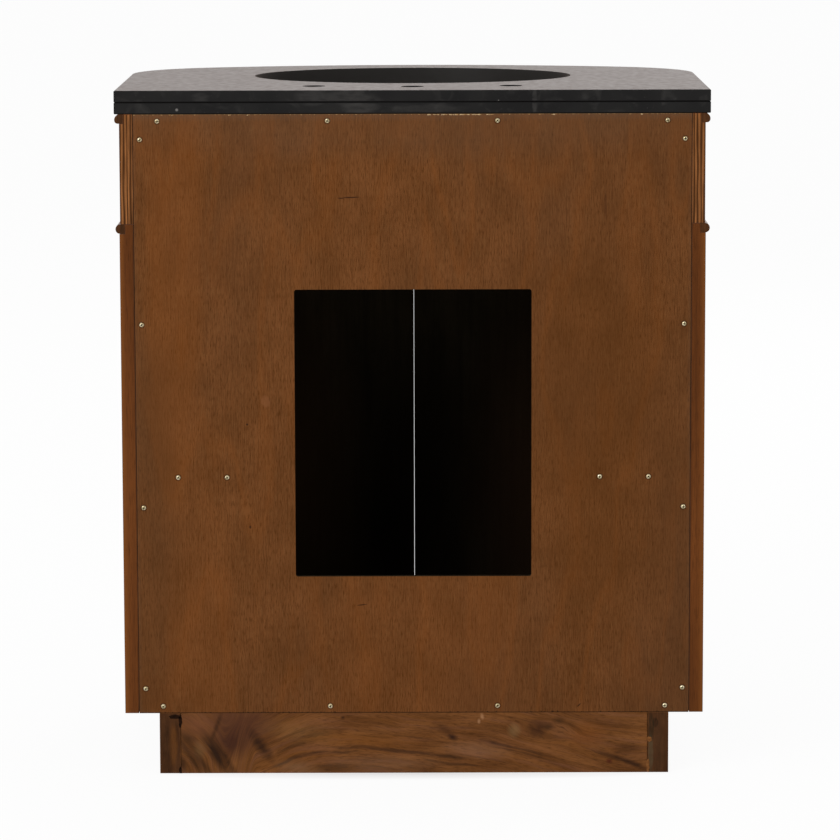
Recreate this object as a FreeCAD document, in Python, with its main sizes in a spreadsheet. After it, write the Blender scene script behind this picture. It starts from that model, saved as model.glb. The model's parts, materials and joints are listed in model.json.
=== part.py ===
import FreeCAD
import Part
import math
import os
import re
import Sketcher

# Bow-fronted sink chest with a two-layer stone top.
# Frame: x across the chest, front towards -y, wall plane at y = 0, floor at z = 0. Right means +x.

# Sizes in millimetres, each written once.
SIZES = {
    # stone top
    "top_width": 762.0,
    "top_depth": 559.0,
    "overall_height": 889.0,
    "layer_thickness": 15.0,
    "bow_radius": 780.0,
    "corner_radius": 155.0,
    "stone_arris": 0.9,
    "bowl_width": 425.0,
    "bowl_depth": 347.0,
    "bowl_setback": 316.0,
    "faucet_hole_radius": 15.0,
    "faucet_spread": 255.0,
    "spout_setback": 75.0,
    "handle_setback": 88.0,
    # case
    "top_overhang": 5.5,
    "side_thickness": 18.0,
    "side_length": 361.0,
    "board_thickness": 18.0,
    "back_thickness": 9.0,
    "panel_clearance": 0.6,
    "batten_width": 18.0,
    "frieze_height": 141.0,
    "frieze_recess": 1.0,
    "head_rail_height": 28.0,
    "head_rail_depth": 50.0,
    "rear_rail_width": 40.0,
    "side_rail_width": 60.0,
    "gusset_width": 95.0,
    # let-in bead mouldings
    "bead_height": 12.0,
    "bead_reach": 5.0,
    "upper_let_in": 4.8,
    "lower_let_in": 6.8,
    "upper_nose_over": 7.0,
    "upper_nose_under": 4.5,
    "lower_nose": 5.8,
    # cut-out for the pipes
    "pipe_width": 305.0,
    "pipe_height": 373.5,
    "pipe_level": 260.0,
    "pipe_corner": 3.0,
    # shelves beside the pipes
    "shelf_width": 171.0,
    "shelf_depth": 290.0,
    "shelf_level": 381.0,
    "cleat_width": 18.0,
    "cleat_length": 240.0,
    # plinth
    "plinth_height": 80.0,
    "plinth_inset": 44.5,
    "plinth_thickness": 27.0,
    "plinth_back_thickness": 22.0,
    "plinth_clearance": 0.6,
    "block_width": 32.0,
    "block_height": 70.0,
    "block_corner_gap": 0.7,
    # doors
    "door_opening": 540.0,
    "door_gap": 2.0,
    "meeting_gap": 0.5,
    "hinge_gap": 3.0,
    # butt hinges
    "hinge_height": 64.0,
    "hinge_setback": 60.0,
    "hinge_proud": 5.5,
    "leaf_reach": 23.5,
    "leaf_screw_reach": 15.5,
    "plate_thickness": 1.3,
    "barrel_radius": 4.0,
    "knuckle_gap": 0.3,
    "pin_radius": 2.0,
    "pin_clearance": 0.05,
    "pin_cap_radius": 3.2,
    # knobs, below the head rail
    "knob_offset": 34.0,
    "knob_drop": 66.0,
    "knob_radius": 14.0,
    "knob_crown": 8.0,
    "knob_reach": 27.0,
    "knob_neck_radius": 5.5,
    "knob_foot_radius": 8.5,
    "knob_foot_height": 2.5,
    "bolt_radius": 2.0,
    "bolt_depth": 12.0,
    "bolt_head_radius": 4.0,
    "bolt_head_height": 2.4,
    # double magnetic catch
    "catch_width": 46.0,
    "catch_depth": 22.0,
    "catch_height": 14.0,
    "catch_gap": 0.4,
    "magnet_width": 12.0,
    "magnet_depth": 6.0,
    "magnet_height": 8.0,
    "strike_offset": 15.0,
    "strike_width": 16.0,
    "strike_height": 10.0,
    # wood screws with domed heads
    "screw_length": 25.0,
    "screw_radius": 1.5,
    "screw_head_radius": 3.2,
    "screw_head_height": 1.8,
    "screw_crown_radius": 1.9,
    "screw_point_radius": 0.15,
    "screw_tip": 5.0,
    "screw_end_gap": 32.5,
    "screw_row_width": 652.0,
    "screw_row_gap": 30.9,
    "shelf_screw_pitch": 63.0,
    # countersunk screws of hinges and strikes
    "flat_screw_length": 14.0,
    "flat_screw_radius": 1.3,
    "flat_screw_head_radius": 2.6,
    # room left round fasteners, and past their tips
    "hole_clearance": 0.1,
    "hole_margin": 0.8,
}

CASE_TOP = "(overall_height - 2 * layer_thickness)"
FRIEZE_FOOT = f"({CASE_TOP} - frieze_height)"
RAIL_FOOT = f"({FRIEZE_FOOT} - head_rail_height)"
FLOOR_TOP = "(plinth_height + board_thickness)"
OUTER_HALF = "(top_width / 2)"
INNER_HALF = "(top_width / 2 - top_overhang - side_thickness)"
PANEL_HALF = "(top_width / 2 - top_overhang - side_thickness - panel_clearance)"
PLINTH_INNER_HALF = "(top_width / 2 - top_overhang - plinth_inset - plinth_thickness)"
OPENING_HALF = "(door_opening / 2)"
BOW_CENTRE = "(bow_radius - top_depth)"
FACE_RADIUS = "(bow_radius - top_overhang)"
INNER_RADIUS = "(bow_radius - top_overhang - side_thickness)"
# Straight run of the outline, from the wall to the start of the rounded corners
CORNER_RISE = "sqrt((bow_radius - corner_radius) ^ 2 - (top_width / 2 - corner_radius) ^ 2)"
STRAIGHT_RUN = f"({CORNER_RISE} - {BOW_CENTRE})"

ALIAS = re.compile(r"\b(" + "|".join(SIZES) + r")\b")
VECTOR = FreeCAD.Vector
# Places this near count as the same, and directions with this cosine as parallel
NEAR = 0.01
PARALLEL = 0.999
UPRIGHT = FreeCAD.Rotation()
# Turns of a fastener whose head faces +z
HEAD_DOWN = FreeCAD.Rotation(VECTOR(1, 0, 0), 180)
HEAD_BACK = FreeCAD.Rotation(VECTOR(1, 0, 0), -90)
HEAD_FORWARD = FreeCAD.Rotation(VECTOR(1, 0, 0), 90)
HEAD_INWARD = FreeCAD.Rotation(VECTOR(0, 1, 0), -90)
HEAD_OUTWARD = FreeCAD.Rotation(VECTOR(0, 1, 0), 90)

doc = FreeCAD.newDocument("SinkChest")
sheet = doc.addObject("Spreadsheet::Sheet", "Sizes")
for row, (alias, number) in enumerate(SIZES.items(), start=1):
    sheet.set(f"A{row}", alias)
    sheet.set(f"B{row}", str(number))
    sheet.setAlias(f"B{row}", alias)
doc.recompute()

nodes = []


def bind(item, prop, text):
    item.setExpression(prop, ALIAS.sub(r"Sizes.\1", text))


def place(item, x="0", y="0", z="0"):
    for axis, text in (("x", x), ("y", y), ("z", z)):
        bind(item, f"Placement.Base.{axis}", text)
    return item


def total(names):
    # Sum of named sizes; a leading minus takes the size away.
    return sum(-SIZES[name[1:]] if name.startswith("-") else SIZES[name] for name in names)


def summed(names):
    return "(" + " + ".join(f"({name})" for name in names) + ")" if names else "0"


def box(name, x, y, z):
    # Block between low and high limits along each axis.
    block = doc.addObject("Part::Box", name)
    for prop, (low, high) in (("Length", x), ("Width", y), ("Height", z)):
        bind(block, prop, f"({high}) - ({low})")
    return place(block, x[0], y[0], z[0])


def cylinder(name, radius, low, high):
    round_bar = doc.addObject("Part::Cylinder", name)
    bind(round_bar, "Radius", radius)
    bind(round_bar, "Height", f"({high}) - ({low})")
    return place(round_bar, z=low)


def cone(name, low_radius, high_radius, low, high):
    taper = doc.addObject("Part::Cone", name)
    bind(taper, "Radius1", low_radius)
    bind(taper, "Radius2", high_radius)
    bind(taper, "Height", f"({high}) - ({low})")
    return place(taper, z=low)


def group(name, members):
    gathered = doc.addObject("Part::Compound", name)
    gathered.Links = members
    return gathered


def fuse(name, members):
    joined = doc.addObject("Part::MultiFuse", name)
    joined.Shapes = members
    joined.Refine = True
    return joined


def cut(name, base, *tools):
    remains = doc.addObject("Part::Cut", name)
    remains.Base = base
    remains.Tool = tools[0] if len(tools) == 1 else group(name + "_tools", list(tools))
    return remains


def common(name, base, tool):
    shared = doc.addObject("Part::Common", name)
    shared.Base = base
    shared.Tool = tool
    return shared


def copy_at(source, x="0", y="0", z="0", turn=UPRIGHT):
    link = doc.addObject("App::Link", source.Name + "_copy")
    link.LinkedObject = source
    link.Placement = FreeCAD.Placement(VECTOR(), turn)
    return place(link, x, y, z)


def copies(name, source, places, turn=UPRIGHT):
    return group(name, [copy_at(source, *spot, turn) for spot in places])


def keep(label, item):
    item.Label = label
    nodes.append(item)
    return item


def keep_pair(label, right_item):
    # The left-hand piece is the mirror image of the right-hand one.
    keep(f"{label}_right", right_item)
    left_item = doc.addObject("Part::Mirroring", f"{label}_mirror")
    left_item.Source = right_item
    left_item.Normal = VECTOR(1, 0, 0)
    keep(f"{label}_left", left_item)


def edge_names(shape, wanted):
    return [f"Edge{number}" for number, edge in enumerate(shape.Edges, start=1) if wanted(edge)]


def is_upright(edge):
    return abs(edge.tangentAt(edge.FirstParameter).z) > PARALLEL


def bow_sketch(body, name, inset, setback, open_back):
    # Plan outline: straight back and sides, bowed front, corners still sharp.
    half = SIZES["top_width"] / 2 - total(inset)
    radius = SIZES["bow_radius"] - total(inset)
    centre = SIZES["bow_radius"] - SIZES["top_depth"] + total(setback)
    back = total(open_back)
    corner = centre - math.sqrt(radius ** 2 - half ** 2)
    sketch = body.newObject("Sketcher::SketchObject", name)
    plane = next(item for item in body.Origin.OriginFeatures if item.Role == "XY_Plane")
    sketch.AttachmentSupport = [(plane, "")]
    sketch.MapMode = "FlatFace"
    start = math.atan2(corner - centre, -half) % (2 * math.pi)
    end = math.atan2(corner - centre, half) % (2 * math.pi)
    sketch.addGeometry(Part.LineSegment(VECTOR(half, back, 0), VECTOR(-half, back, 0)))
    sketch.addGeometry(Part.LineSegment(VECTOR(-half, back, 0), VECTOR(-half, corner, 0)))
    bow = Part.Circle(VECTOR(0, centre, 0), VECTOR(0, 0, 1), radius)
    sketch.addGeometry(Part.ArcOfCircle(bow, start, end))
    sketch.addGeometry(Part.LineSegment(VECTOR(half, corner, 0), VECTOR(half, back, 0)))
    for rule in (
        ("Coincident", 0, 2, 1, 1),
        ("Coincident", 1, 2, 2, 1),
        ("Coincident", 2, 2, 3, 1),
        ("Coincident", 3, 2, 0, 1),
        ("Vertical", 1),
        ("Vertical", 3),
        ("Symmetric", 0, 1, 0, 2, -2),
        ("PointOnObject", 2, 3, -2),
    ):
        sketch.addConstraint(Sketcher.Constraint(*rule))
    measures = [
        ("half", ("DistanceX", -1, 1, 3, 1, half), f"top_width / 2 - {summed(inset)}"),
        ("bow", ("Radius", 2, radius), f"bow_radius - {summed(inset)}"),
        ("centre", ("DistanceY", -1, 1, 2, 3, centre), f"{BOW_CENTRE} + {summed(setback)}"),
    ]
    if open_back:
        measures.append(("back", ("DistanceY", -1, 1, 0, 1, back), summed(open_back)))
    else:
        sketch.addConstraint(Sketcher.Constraint("PointOnObject", 0, 1, -1))
    for label, rule, text in measures:
        index = sketch.addConstraint(Sketcher.Constraint(*rule))
        sketch.renameConstraint(index, label)
        bind(sketch, f"Constraints.{label}", text)
    return sketch


def round_corners(body, inset):
    # Rounds the two upright front corners at the given inset.
    half = SIZES["top_width"] / 2 - total(inset)
    doc.recompute()
    last = body.Tip

    def is_corner(edge):
        spot = edge.Vertexes[0].Point
        return is_upright(edge) and abs(abs(spot.x) - half) < NEAR and spot.y < -half / 2

    rounding = body.newObject("PartDesign::Fillet", f"{body.Name}_corners")
    rounding.Base = (last, edge_names(last.Shape, is_corner))
    bind(rounding, "Radius", f"corner_radius - {summed(inset)}")


def bow_pad(name, inset, low, high, setback=()):
    # Plan outline raised between two levels, corners still sharp.
    body = doc.addObject("PartDesign::Body", name)
    pad = body.newObject("PartDesign::Pad", f"{name}_pad")
    pad.Profile = bow_sketch(body, f"{name}_plan", inset, setback, ())
    bind(pad, "Length", f"({high}) - ({low})")
    return place(body, y=f"-{summed(setback)}", z=low)


def bow_block(name, inset, low, high, setback=()):
    # Solid of the plan outline between two levels.
    body = bow_pad(name, inset, low, high, setback)
    round_corners(body, inset)
    return body


def bow_band(name, outer, inner, low, high):
    # Board bent round the sides and the front, open at the back.
    body = bow_pad(name, outer, low, high)
    doc.recompute()
    full_volume = body.Shape.Volume
    pocket = body.newObject("PartDesign::Pocket", f"{name}_pocket")
    pocket.Profile = bow_sketch(body, f"{name}_inner_plan", inner, (), ("board_thickness",))
    pocket.Type = "ThroughAll"
    pocket.Reversed = True
    round_corners(body, inner)
    round_corners(body, outer)
    doc.recompute()
    if body.Shape.Volume > full_volume / 2:
        raise RuntimeError(f"{name}: the inside is not cut away")
    return body


def soften(body, kind, prop, text, wanted):
    # Rounds or bevels the chosen edges of the body's last feature.
    doc.recompute()
    last = body.Tip
    feature = body.newObject(f"PartDesign::{kind}", f"{body.Name}_edge")
    feature.Base = (last, edge_names(last.Shape, wanted))
    bind(feature, prop, text)


def on_outside(level, inset):
    # Picks the edges of a bent board that lie on its outer face at one level.
    half = SIZES["top_width"] / 2 - total(inset)
    radii = (SIZES["bow_radius"] - total(inset), SIZES["corner_radius"] - total(inset))

    def wanted(edge):
        ends = [vertex.Point for vertex in edge.Vertexes]
        if any(abs(spot.z - level) > NEAR for spot in ends):
            return False
        if isinstance(edge.Curve, Part.Circle):
            return any(abs(edge.Curve.Radius - radius) < NEAR for radius in radii)
        return all(abs(abs(spot.x) - half) < NEAR for spot in ends) and ends[0].x * ends[1].x > 0

    return wanted


# Stone top: two layers laid on each other, cut through for the bowl and the faucet
bowl_outline = doc.addObject("Part::Ellipse", "bowl_outline")
bind(bowl_outline, "MajorRadius", "bowl_width / 2")
bind(bowl_outline, "MinorRadius", "bowl_depth / 2")
place(bowl_outline, y="-bowl_setback", z=f"{CASE_TOP} - layer_thickness")
bowl_cutter = doc.addObject("Part::Extrusion", "bowl_cutter")
bowl_cutter.Base = bowl_outline
bowl_cutter.DirMode = "Custom"
bowl_cutter.Dir = VECTOR(0, 0, 1)
bowl_cutter.Solid = True
bind(bowl_cutter, "LengthFwd", "4 * layer_thickness")
faucet_drill = cylinder("faucet_drill", "faucet_hole_radius", "0", "4 * layer_thickness")
faucet_places = [
    ("0", "-spout_setback", f"{CASE_TOP} - layer_thickness"),
    ("faucet_spread / 2", "-handle_setback", f"{CASE_TOP} - layer_thickness"),
    ("-faucet_spread / 2", "-handle_setback", f"{CASE_TOP} - layer_thickness"),
]
faucet_cutter = copies("faucet_cutter", faucet_drill, faucet_places)
for label, low in (("lower_slab", CASE_TOP), ("top_slab", f"({CASE_TOP} + layer_thickness)")):
    layer = bow_block(f"{label}_block", (), low, f"{low} + layer_thickness")
    soften(layer, "Chamfer", "Size", "stone_arris", lambda edge: not is_upright(edge))
    keep(label, cut(f"{label}_drilled", layer, bowl_cutter, faucet_cutter))

# Bead mouldings, and the rebates they are let into
bead_face = ("top_overhang", "-bead_reach")
upper_bead_inner = ("top_overhang", "frieze_recess", "upper_let_in")
lower_bead_inner = ("top_overhang", "lower_let_in")
upper_span = (f"{CASE_TOP} - bead_height", CASE_TOP)
lower_span = (f"{FRIEZE_FOOT} - bead_height", FRIEZE_FOOT)
upper_bead = bow_band("upper_bead_strip", bead_face, upper_bead_inner, *upper_span)
soften(upper_bead, "Fillet", "Radius", "upper_nose_over", on_outside(SIZES["bead_height"], bead_face))
soften(upper_bead, "Fillet", "Radius", "upper_nose_under", on_outside(0, bead_face))
lower_bead = bow_band("lower_bead_strip", bead_face, lower_bead_inner, *lower_span)
soften(lower_bead, "Fillet", "Radius", "lower_nose", on_outside(SIZES["bead_height"], bead_face))
soften(lower_bead, "Fillet", "Radius", "lower_nose", on_outside(0, bead_face))
keep("upper_bead", upper_bead)
keep("lower_bead", lower_bead)
upper_rebate = bow_band("upper_rebate", (), upper_bead_inner, *upper_span)
lower_rebate = bow_band("lower_rebate", (), lower_bead_inner, *lower_span)

# Fasteners, drawn with the head facing +z and the seat of the head at z = 0
screw = fuse("screw", [
    cone("screw_head", "screw_head_radius", "screw_crown_radius", "0", "screw_head_height"),
    cylinder("screw_shank", "screw_radius", "screw_tip - screw_length", "0"),
    cone("screw_point", "screw_point_radius", "screw_radius", "-screw_length", "screw_tip - screw_length"),
])
drill = group("drill", [
    cylinder("drill_bar", "screw_radius + hole_clearance", "-screw_length - hole_margin", "hole_margin"),
])
flat_head = group("flat_head", [
    cone("flat_head_cone", "flat_screw_radius", "flat_screw_head_radius", "-plate_thickness", "0"),
])
flat_screw = fuse("flat_screw", [
    copy_at(flat_head),
    cylinder("flat_shank", "flat_screw_radius", "-flat_screw_length", "-plate_thickness / 2"),
])
flat_drill = group("flat_drill", [
    cylinder("flat_bar", "flat_screw_radius + hole_clearance", "-flat_screw_length - hole_margin", "0"),
])

# Screws of the back panel: two rows, two columns and a pair into each shelf.
# A row ends near the panel's edges, and its middle pair is a third of the row's width apart.
back_places = []
row_reaches = (f"({PANEL_HALF} - screw_row_gap)", "screw_row_width / 6")
for level in (f"{CASE_TOP} - board_thickness / 2", "plinth_height + board_thickness / 2"):
    back_places += [(f"{side}{reach}", "0", level) for side in ("-", "") for reach in row_reaches]
for side in ("", "-"):
    for step in range(4):
        panel_run = f"({CASE_TOP} - plinth_height - 2 * screw_end_gap)"
        level = f"plinth_height + screw_end_gap + {panel_run} * {step} / 3"
        back_places.append((f"{side}({INNER_HALF} - batten_width / 2)", "0", level))
    for way in ("-", "+"):
        reach = f"{side}({INNER_HALF} - shelf_width / 2 {way} shelf_screw_pitch / 2)"
        back_places.append((reach, "0", "shelf_level + board_thickness / 2"))
keep("back_panel_screws", copies("back_screws", screw, back_places, HEAD_BACK))
back_drills = copies("back_drills", drill, back_places, HEAD_BACK)

# Side panels, corner stiles, rails and doors, all parted from one bent skin
skin_band = bow_band("skin_band", ("top_overhang",), ("top_overhang", "side_thickness"),
                     "plinth_height", FRIEZE_FOOT)
skin = cut("skin", skin_band, lower_rebate)
front_run = ("-top_depth", "-side_length")
skin_run = ("plinth_height", FRIEZE_FOOT)
side_board = common("side_board", skin, box("side_zone", ("0", OUTER_HALF), ("-side_length", "0"), skin_run))
stile = common("stile", skin, box("stile_zone", (OPENING_HALF, OUTER_HALF), front_run, skin_run))
opening_run = (f"-{OPENING_HALF}", OPENING_HALF)
sill = common("sill", skin, box("sill_zone", opening_run, front_run, ("plinth_height", FLOOR_TOP)))
keep("sill_rail", sill)
rail_band = bow_band("rail_band", ("top_overhang",), ("top_overhang", "head_rail_depth"),
                     RAIL_FOOT, FRIEZE_FOOT)
rail_zone = box("rail_zone", opening_run, front_run, (RAIL_FOOT, FRIEZE_FOOT))
head_rail = common("head_rail_board", cut("rail_rebated", rail_band, lower_rebate), rail_zone)
door_zone = box("door_zone", ("meeting_gap / 2", f"{OPENING_HALF} - hinge_gap"), front_run,
                (f"{FLOOR_TOP} + door_gap", f"{RAIL_FOOT} - door_gap"))
door_slab = common("door_slab", skin, door_zone)

# Frieze: straight sides and a bowed front
frieze_band = bow_band("frieze_band", ("top_overhang", "frieze_recess"), ("top_overhang", "side_thickness"),
                       FRIEZE_FOOT, CASE_TOP)
frieze = cut("frieze", frieze_band, upper_rebate)
frieze_run = (FRIEZE_FOOT, CASE_TOP)
frieze_side_zone = box("frieze_side_zone", ("0", OUTER_HALF), ("-side_length", "0"), frieze_run)
keep_pair("frieze_side", common("frieze_side", frieze, frieze_side_zone))
frieze_front_zone = box("frieze_front_zone", (f"-{OUTER_HALF}", OUTER_HALF), front_run, frieze_run)
keep("frieze_front", common("frieze_front_board", frieze, frieze_front_zone))

# Rails and gussets that carry the stone
top_run = (f"{CASE_TOP} - board_thickness", CASE_TOP)
rear_run = ("-back_thickness - rear_rail_width", "-back_thickness")
rear_rail = box("rear_rail", (f"-{INNER_HALF}", INNER_HALF), rear_run, top_run)
keep("top_rear_rail", cut("rear_rail_drilled", rear_rail, back_drills))
inner_plan = bow_block("inner_plan", ("top_overhang", "side_thickness"), *top_run)
side_rail_zone = box("side_rail_zone", (f"{INNER_HALF} - side_rail_width", INNER_HALF),
                     ("-side_length", rear_run[0]), top_run)
keep_pair("top_side_rail", common("side_rail", inner_plan, side_rail_zone))
gusset_zone = box("gusset_zone", (f"{INNER_HALF} - gusset_width", INNER_HALF), front_run, top_run)
keep_pair("front_gusset", common("gusset", inner_plan, gusset_zone))

# Back panel with the pipe cut-out, and the battens behind its edges
panel_board = box("panel_board", (f"-{PANEL_HALF}", PANEL_HALF), ("-back_thickness", "0"),
                  ("plinth_height", CASE_TOP))
pipe_body = doc.addObject("PartDesign::Body", "pipe_body")
pipe_block = pipe_body.newObject("PartDesign::AdditiveBox", "pipe_block")
bind(pipe_block, "Length", "pipe_width")
bind(pipe_block, "Width", "3 * back_thickness")
bind(pipe_block, "Height", "pipe_height")
soften(pipe_body, "Fillet", "Radius", "pipe_corner",
       lambda edge: abs(edge.tangentAt(edge.FirstParameter).y) > PARALLEL)
place(pipe_body, "-pipe_width / 2", "-2 * back_thickness", "pipe_level")
keep("back_panel", cut("panel_drilled", panel_board, pipe_body, back_drills))
batten = box("batten", (f"{INNER_HALF} - batten_width", INNER_HALF),
             ("-back_thickness - batten_width", "-back_thickness"),
             (FLOOR_TOP, f"{CASE_TOP} - board_thickness"))
keep_pair("back_batten", cut("batten_drilled", batten, back_drills))

# Shelves beside the pipes, on cleats screwed to the sides
shelf_board = box("shelf_board", (f"{INNER_HALF} - shelf_width", INNER_HALF),
                  ("-back_thickness - shelf_depth", "-back_thickness"),
                  ("shelf_level", "shelf_level + board_thickness"))
keep_pair("shelf", cut("shelf_fitted", shelf_board, batten, back_drills))
cleat_back = "(-back_thickness - batten_width)"
cleat_face = f"({INNER_HALF} - cleat_width)"
cleat_board = box("cleat_board", (cleat_face, INNER_HALF),
                  (f"{cleat_back} - cleat_length", cleat_back), ("shelf_level - cleat_width", "shelf_level"))
cleat_places = [
    (cleat_face, f"{cleat_back} - cleat_length * {step} / 4", "shelf_level - cleat_width / 2")
    for step in (1, 3)
]
cleat_screws = copies("cleat_screw_set", screw, cleat_places, HEAD_INWARD)
cleat_drills = copies("cleat_drills", drill, cleat_places, HEAD_INWARD)
keep_pair("shelf_cleat", cut("cleat_drilled", cleat_board, cleat_drills))
keep_pair("cleat_screws", cleat_screws)
keep_pair("side_panel", cut("side_drilled", side_board, cleat_drills))

# Plinth: boards bent like the case but set in, with glue blocks inside
plinth_face = ("top_overhang", "plinth_inset")
plinth_band = bow_band("plinth_band", plinth_face, plinth_face + ("plinth_thickness",), "0", "plinth_height")
plinth_run = ("0", "plinth_height")
plinth_side_zone = box("plinth_side_zone", ("0", OUTER_HALF), ("-side_length", "0"), plinth_run)
keep_pair("plinth_side", common("plinth_side", plinth_band, plinth_side_zone))
plinth_front_zone = box("plinth_front_zone", (f"-{OUTER_HALF}", OUTER_HALF), front_run, plinth_run)
keep("plinth_front", common("plinth_front_board", plinth_band, plinth_front_zone))
plinth_back_half = f"({PLINTH_INNER_HALF} - plinth_clearance)"
plinth_back = box("plinth_back_board", (f"-{plinth_back_half}", plinth_back_half),
                  ("-plinth_back_thickness", "0"), plinth_run)
keep("plinth_back", plinth_back)
block = group("block", [
    box("block_bar", ("-block_width / 2", "block_width / 2"), ("-block_width / 2", "block_width / 2"),
        ("-block_height", "0")),
])
block_setbacks = (
    "-plinth_back_thickness - block_width / 2",
    f"block_width / 2 + block_corner_gap - {STRAIGHT_RUN}",
)
block_places = [
    (f"{side}({PLINTH_INNER_HALF} - block_width / 2)", setback, "plinth_height")
    for side in ("", "-")
    for setback in block_setbacks
]
plinth_screw_places = [(x, y, FLOOR_TOP) for x, y, _ in block_places]
keep("plinth_screws", copies("plinth_screw_set", screw, plinth_screw_places))
plinth_drills = copies("plinth_drills", drill, plinth_screw_places)
keep("plinth_blocks", cut("blocks_drilled", copies("block_set", block, block_places), plinth_drills))
floor_board = bow_block("floor_board", ("top_overhang", "side_thickness"), "plinth_height", FLOOR_TOP,
                        ("back_thickness",))
keep("bottom_panel", cut("floor_drilled", floor_board, back_drills, plinth_drills))

# Butt hinges: five knuckles on one pin, drawn round their own axis
HINGE_X = f"({OPENING_HALF} - hinge_gap / 2)"
HINGE_Y = f"({BOW_CENTRE} - sqrt({FACE_RADIUS} ^ 2 - {HINGE_X} ^ 2) - hinge_proud)"
HINGE_LEVELS = (
    f"({FLOOR_TOP} + door_gap + hinge_setback)",
    f"({RAIL_FOOT} - door_gap - hinge_setback - hinge_height)",
)
hinge_places = [(HINGE_X, HINGE_Y, level) for level in HINGE_LEVELS]
pin_bore = cylinder("pin_bore", "pin_radius + pin_clearance", "-hinge_height", "2 * hinge_height")


def hinge_leaf(name, plate_run, knuckles):
    plate_reach = ("barrel_radius + knuckle_gap", "leaf_reach")
    pieces = [box(f"{name}_plate", plate_run, plate_reach, ("0", "hinge_height"))]
    for number in knuckles:
        low = f"(hinge_height * {number} / 5 + knuckle_gap / 2)"
        high = f"(hinge_height * {number + 1} / 5 - knuckle_gap / 2)"
        pieces.append(cylinder(f"{name}_knuckle", "barrel_radius", low, high))
        pieces.append(box(f"{name}_tab", plate_run, ("0", "2 * barrel_radius"), (low, high)))
    return cut(f"{name}_bored", fuse(name, pieces), pin_bore)


def leaf_places(plate_face):
    return [
        (f"{HINGE_X} + {plate_face}", f"{HINGE_Y} + leaf_screw_reach", f"{level} + hinge_height * {step} / 6")
        for level in HINGE_LEVELS
        for step in (1, 3, 5)
    ]


jamb_face = "(hinge_gap / 2 - plate_thickness)"
jamb_leaf = hinge_leaf("jamb_leaf", (jamb_face, "hinge_gap / 2"), (0, 2, 4))
door_leaf = hinge_leaf("door_leaf", ("-hinge_gap / 2", f"-{jamb_face}"), (1, 3))
door_drills = []
for label, leaf, face, turn in (
    ("jamb", jamb_leaf, jamb_face, HEAD_INWARD),
    ("door", door_leaf, f"-{jamb_face}", HEAD_OUTWARD),
):
    places = leaf_places(face)
    sinks = copies(f"{label}_sinks", flat_head, places, turn)
    leaves = cut(f"{label}_leaves", copies(f"{label}_leaf_set", leaf, hinge_places), sinks)
    keep_pair(f"hinge_{label}_leaves", leaves)
    keep_pair(f"hinge_{label}_screws", copies(f"{label}_screw_set", flat_screw, places, turn))
    leaf_drills = copies(f"{label}_drills", flat_drill, places, turn)
    if label == "jamb":
        keep_pair("corner_stile", cut("stile_drilled", stile, leaf_drills))
    else:
        door_drills.append(leaf_drills)

pin_bottom = "knuckle_gap / 2"
pin_top = "(hinge_height - knuckle_gap / 2)"
pin_pieces = [cylinder("pin_bar", "pin_radius", pin_bottom, pin_top)]
for level, low_angle, high_angle in ((pin_bottom, -90, 0), (pin_top, 0, 90)):
    cap = doc.addObject("Part::Sphere", "pin_cap")
    bind(cap, "Radius", "pin_cap_radius")
    cap.Angle1 = low_angle
    cap.Angle2 = high_angle
    pin_pieces.append(place(cap, z=level))
keep_pair("hinge_pins", copies("pin_set", fuse("pin", pin_pieces), hinge_places))

# Knob and its bolt, drawn along +z from the outer face of the door
knob_head = doc.addObject("Part::Ellipsoid", "knob_head")
bind(knob_head, "Radius1", "knob_crown")
bind(knob_head, "Radius2", "knob_radius")
bind(knob_head, "Radius3", "knob_radius")
place(knob_head, z="knob_reach - knob_crown")
knob_solid = cut("knob_bored", fuse("knob_round", [
    cylinder("knob_foot", "knob_foot_radius", "0", "knob_foot_height"),
    cylinder("knob_neck", "knob_neck_radius", "0", "knob_reach - knob_crown"),
    knob_head,
]), cylinder("knob_bore", "bolt_radius + hole_clearance", "-hole_margin", "bolt_depth + hole_margin"))
bolt_solid = fuse("bolt", [
    cylinder("bolt_head", "bolt_head_radius", "-side_thickness - bolt_head_height", "-side_thickness"),
    cylinder("bolt_shank", "bolt_radius", "-side_thickness", "bolt_depth"),
])
bolt_hole = group("bolt_hole", [
    cylinder("bolt_bar", "bolt_radius + hole_clearance", "-2 * side_thickness", "side_thickness"),
])


def on_door(name, source, offset, radius, level):
    # Sets a piece drawn along +z square to the bowed door at one offset from the meeting edge.
    forward = group(f"{name}_forward", [copy_at(source, turn=HEAD_FORWARD)])
    height = f"{BOW_CENTRE} - sqrt({radius} ^ 2 - {offset} ^ 2)"
    placed = copy_at(forward, offset, height, level, FreeCAD.Rotation(VECTOR(0, 0, 1), 1))
    bind(placed, "Placement.Rotation.Angle", f"asin({offset} / {radius})")
    return group(name, [placed])


knob_spot = ("knob_offset", FACE_RADIUS, f"{RAIL_FOOT} - knob_drop")
keep_pair("knob", on_door("knob_set", knob_solid, *knob_spot))
keep_pair("knob_bolt", on_door("bolt_set", bolt_solid, *knob_spot))
door_drills.append(on_door("bolt_hole_set", bolt_hole, *knob_spot))

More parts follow.
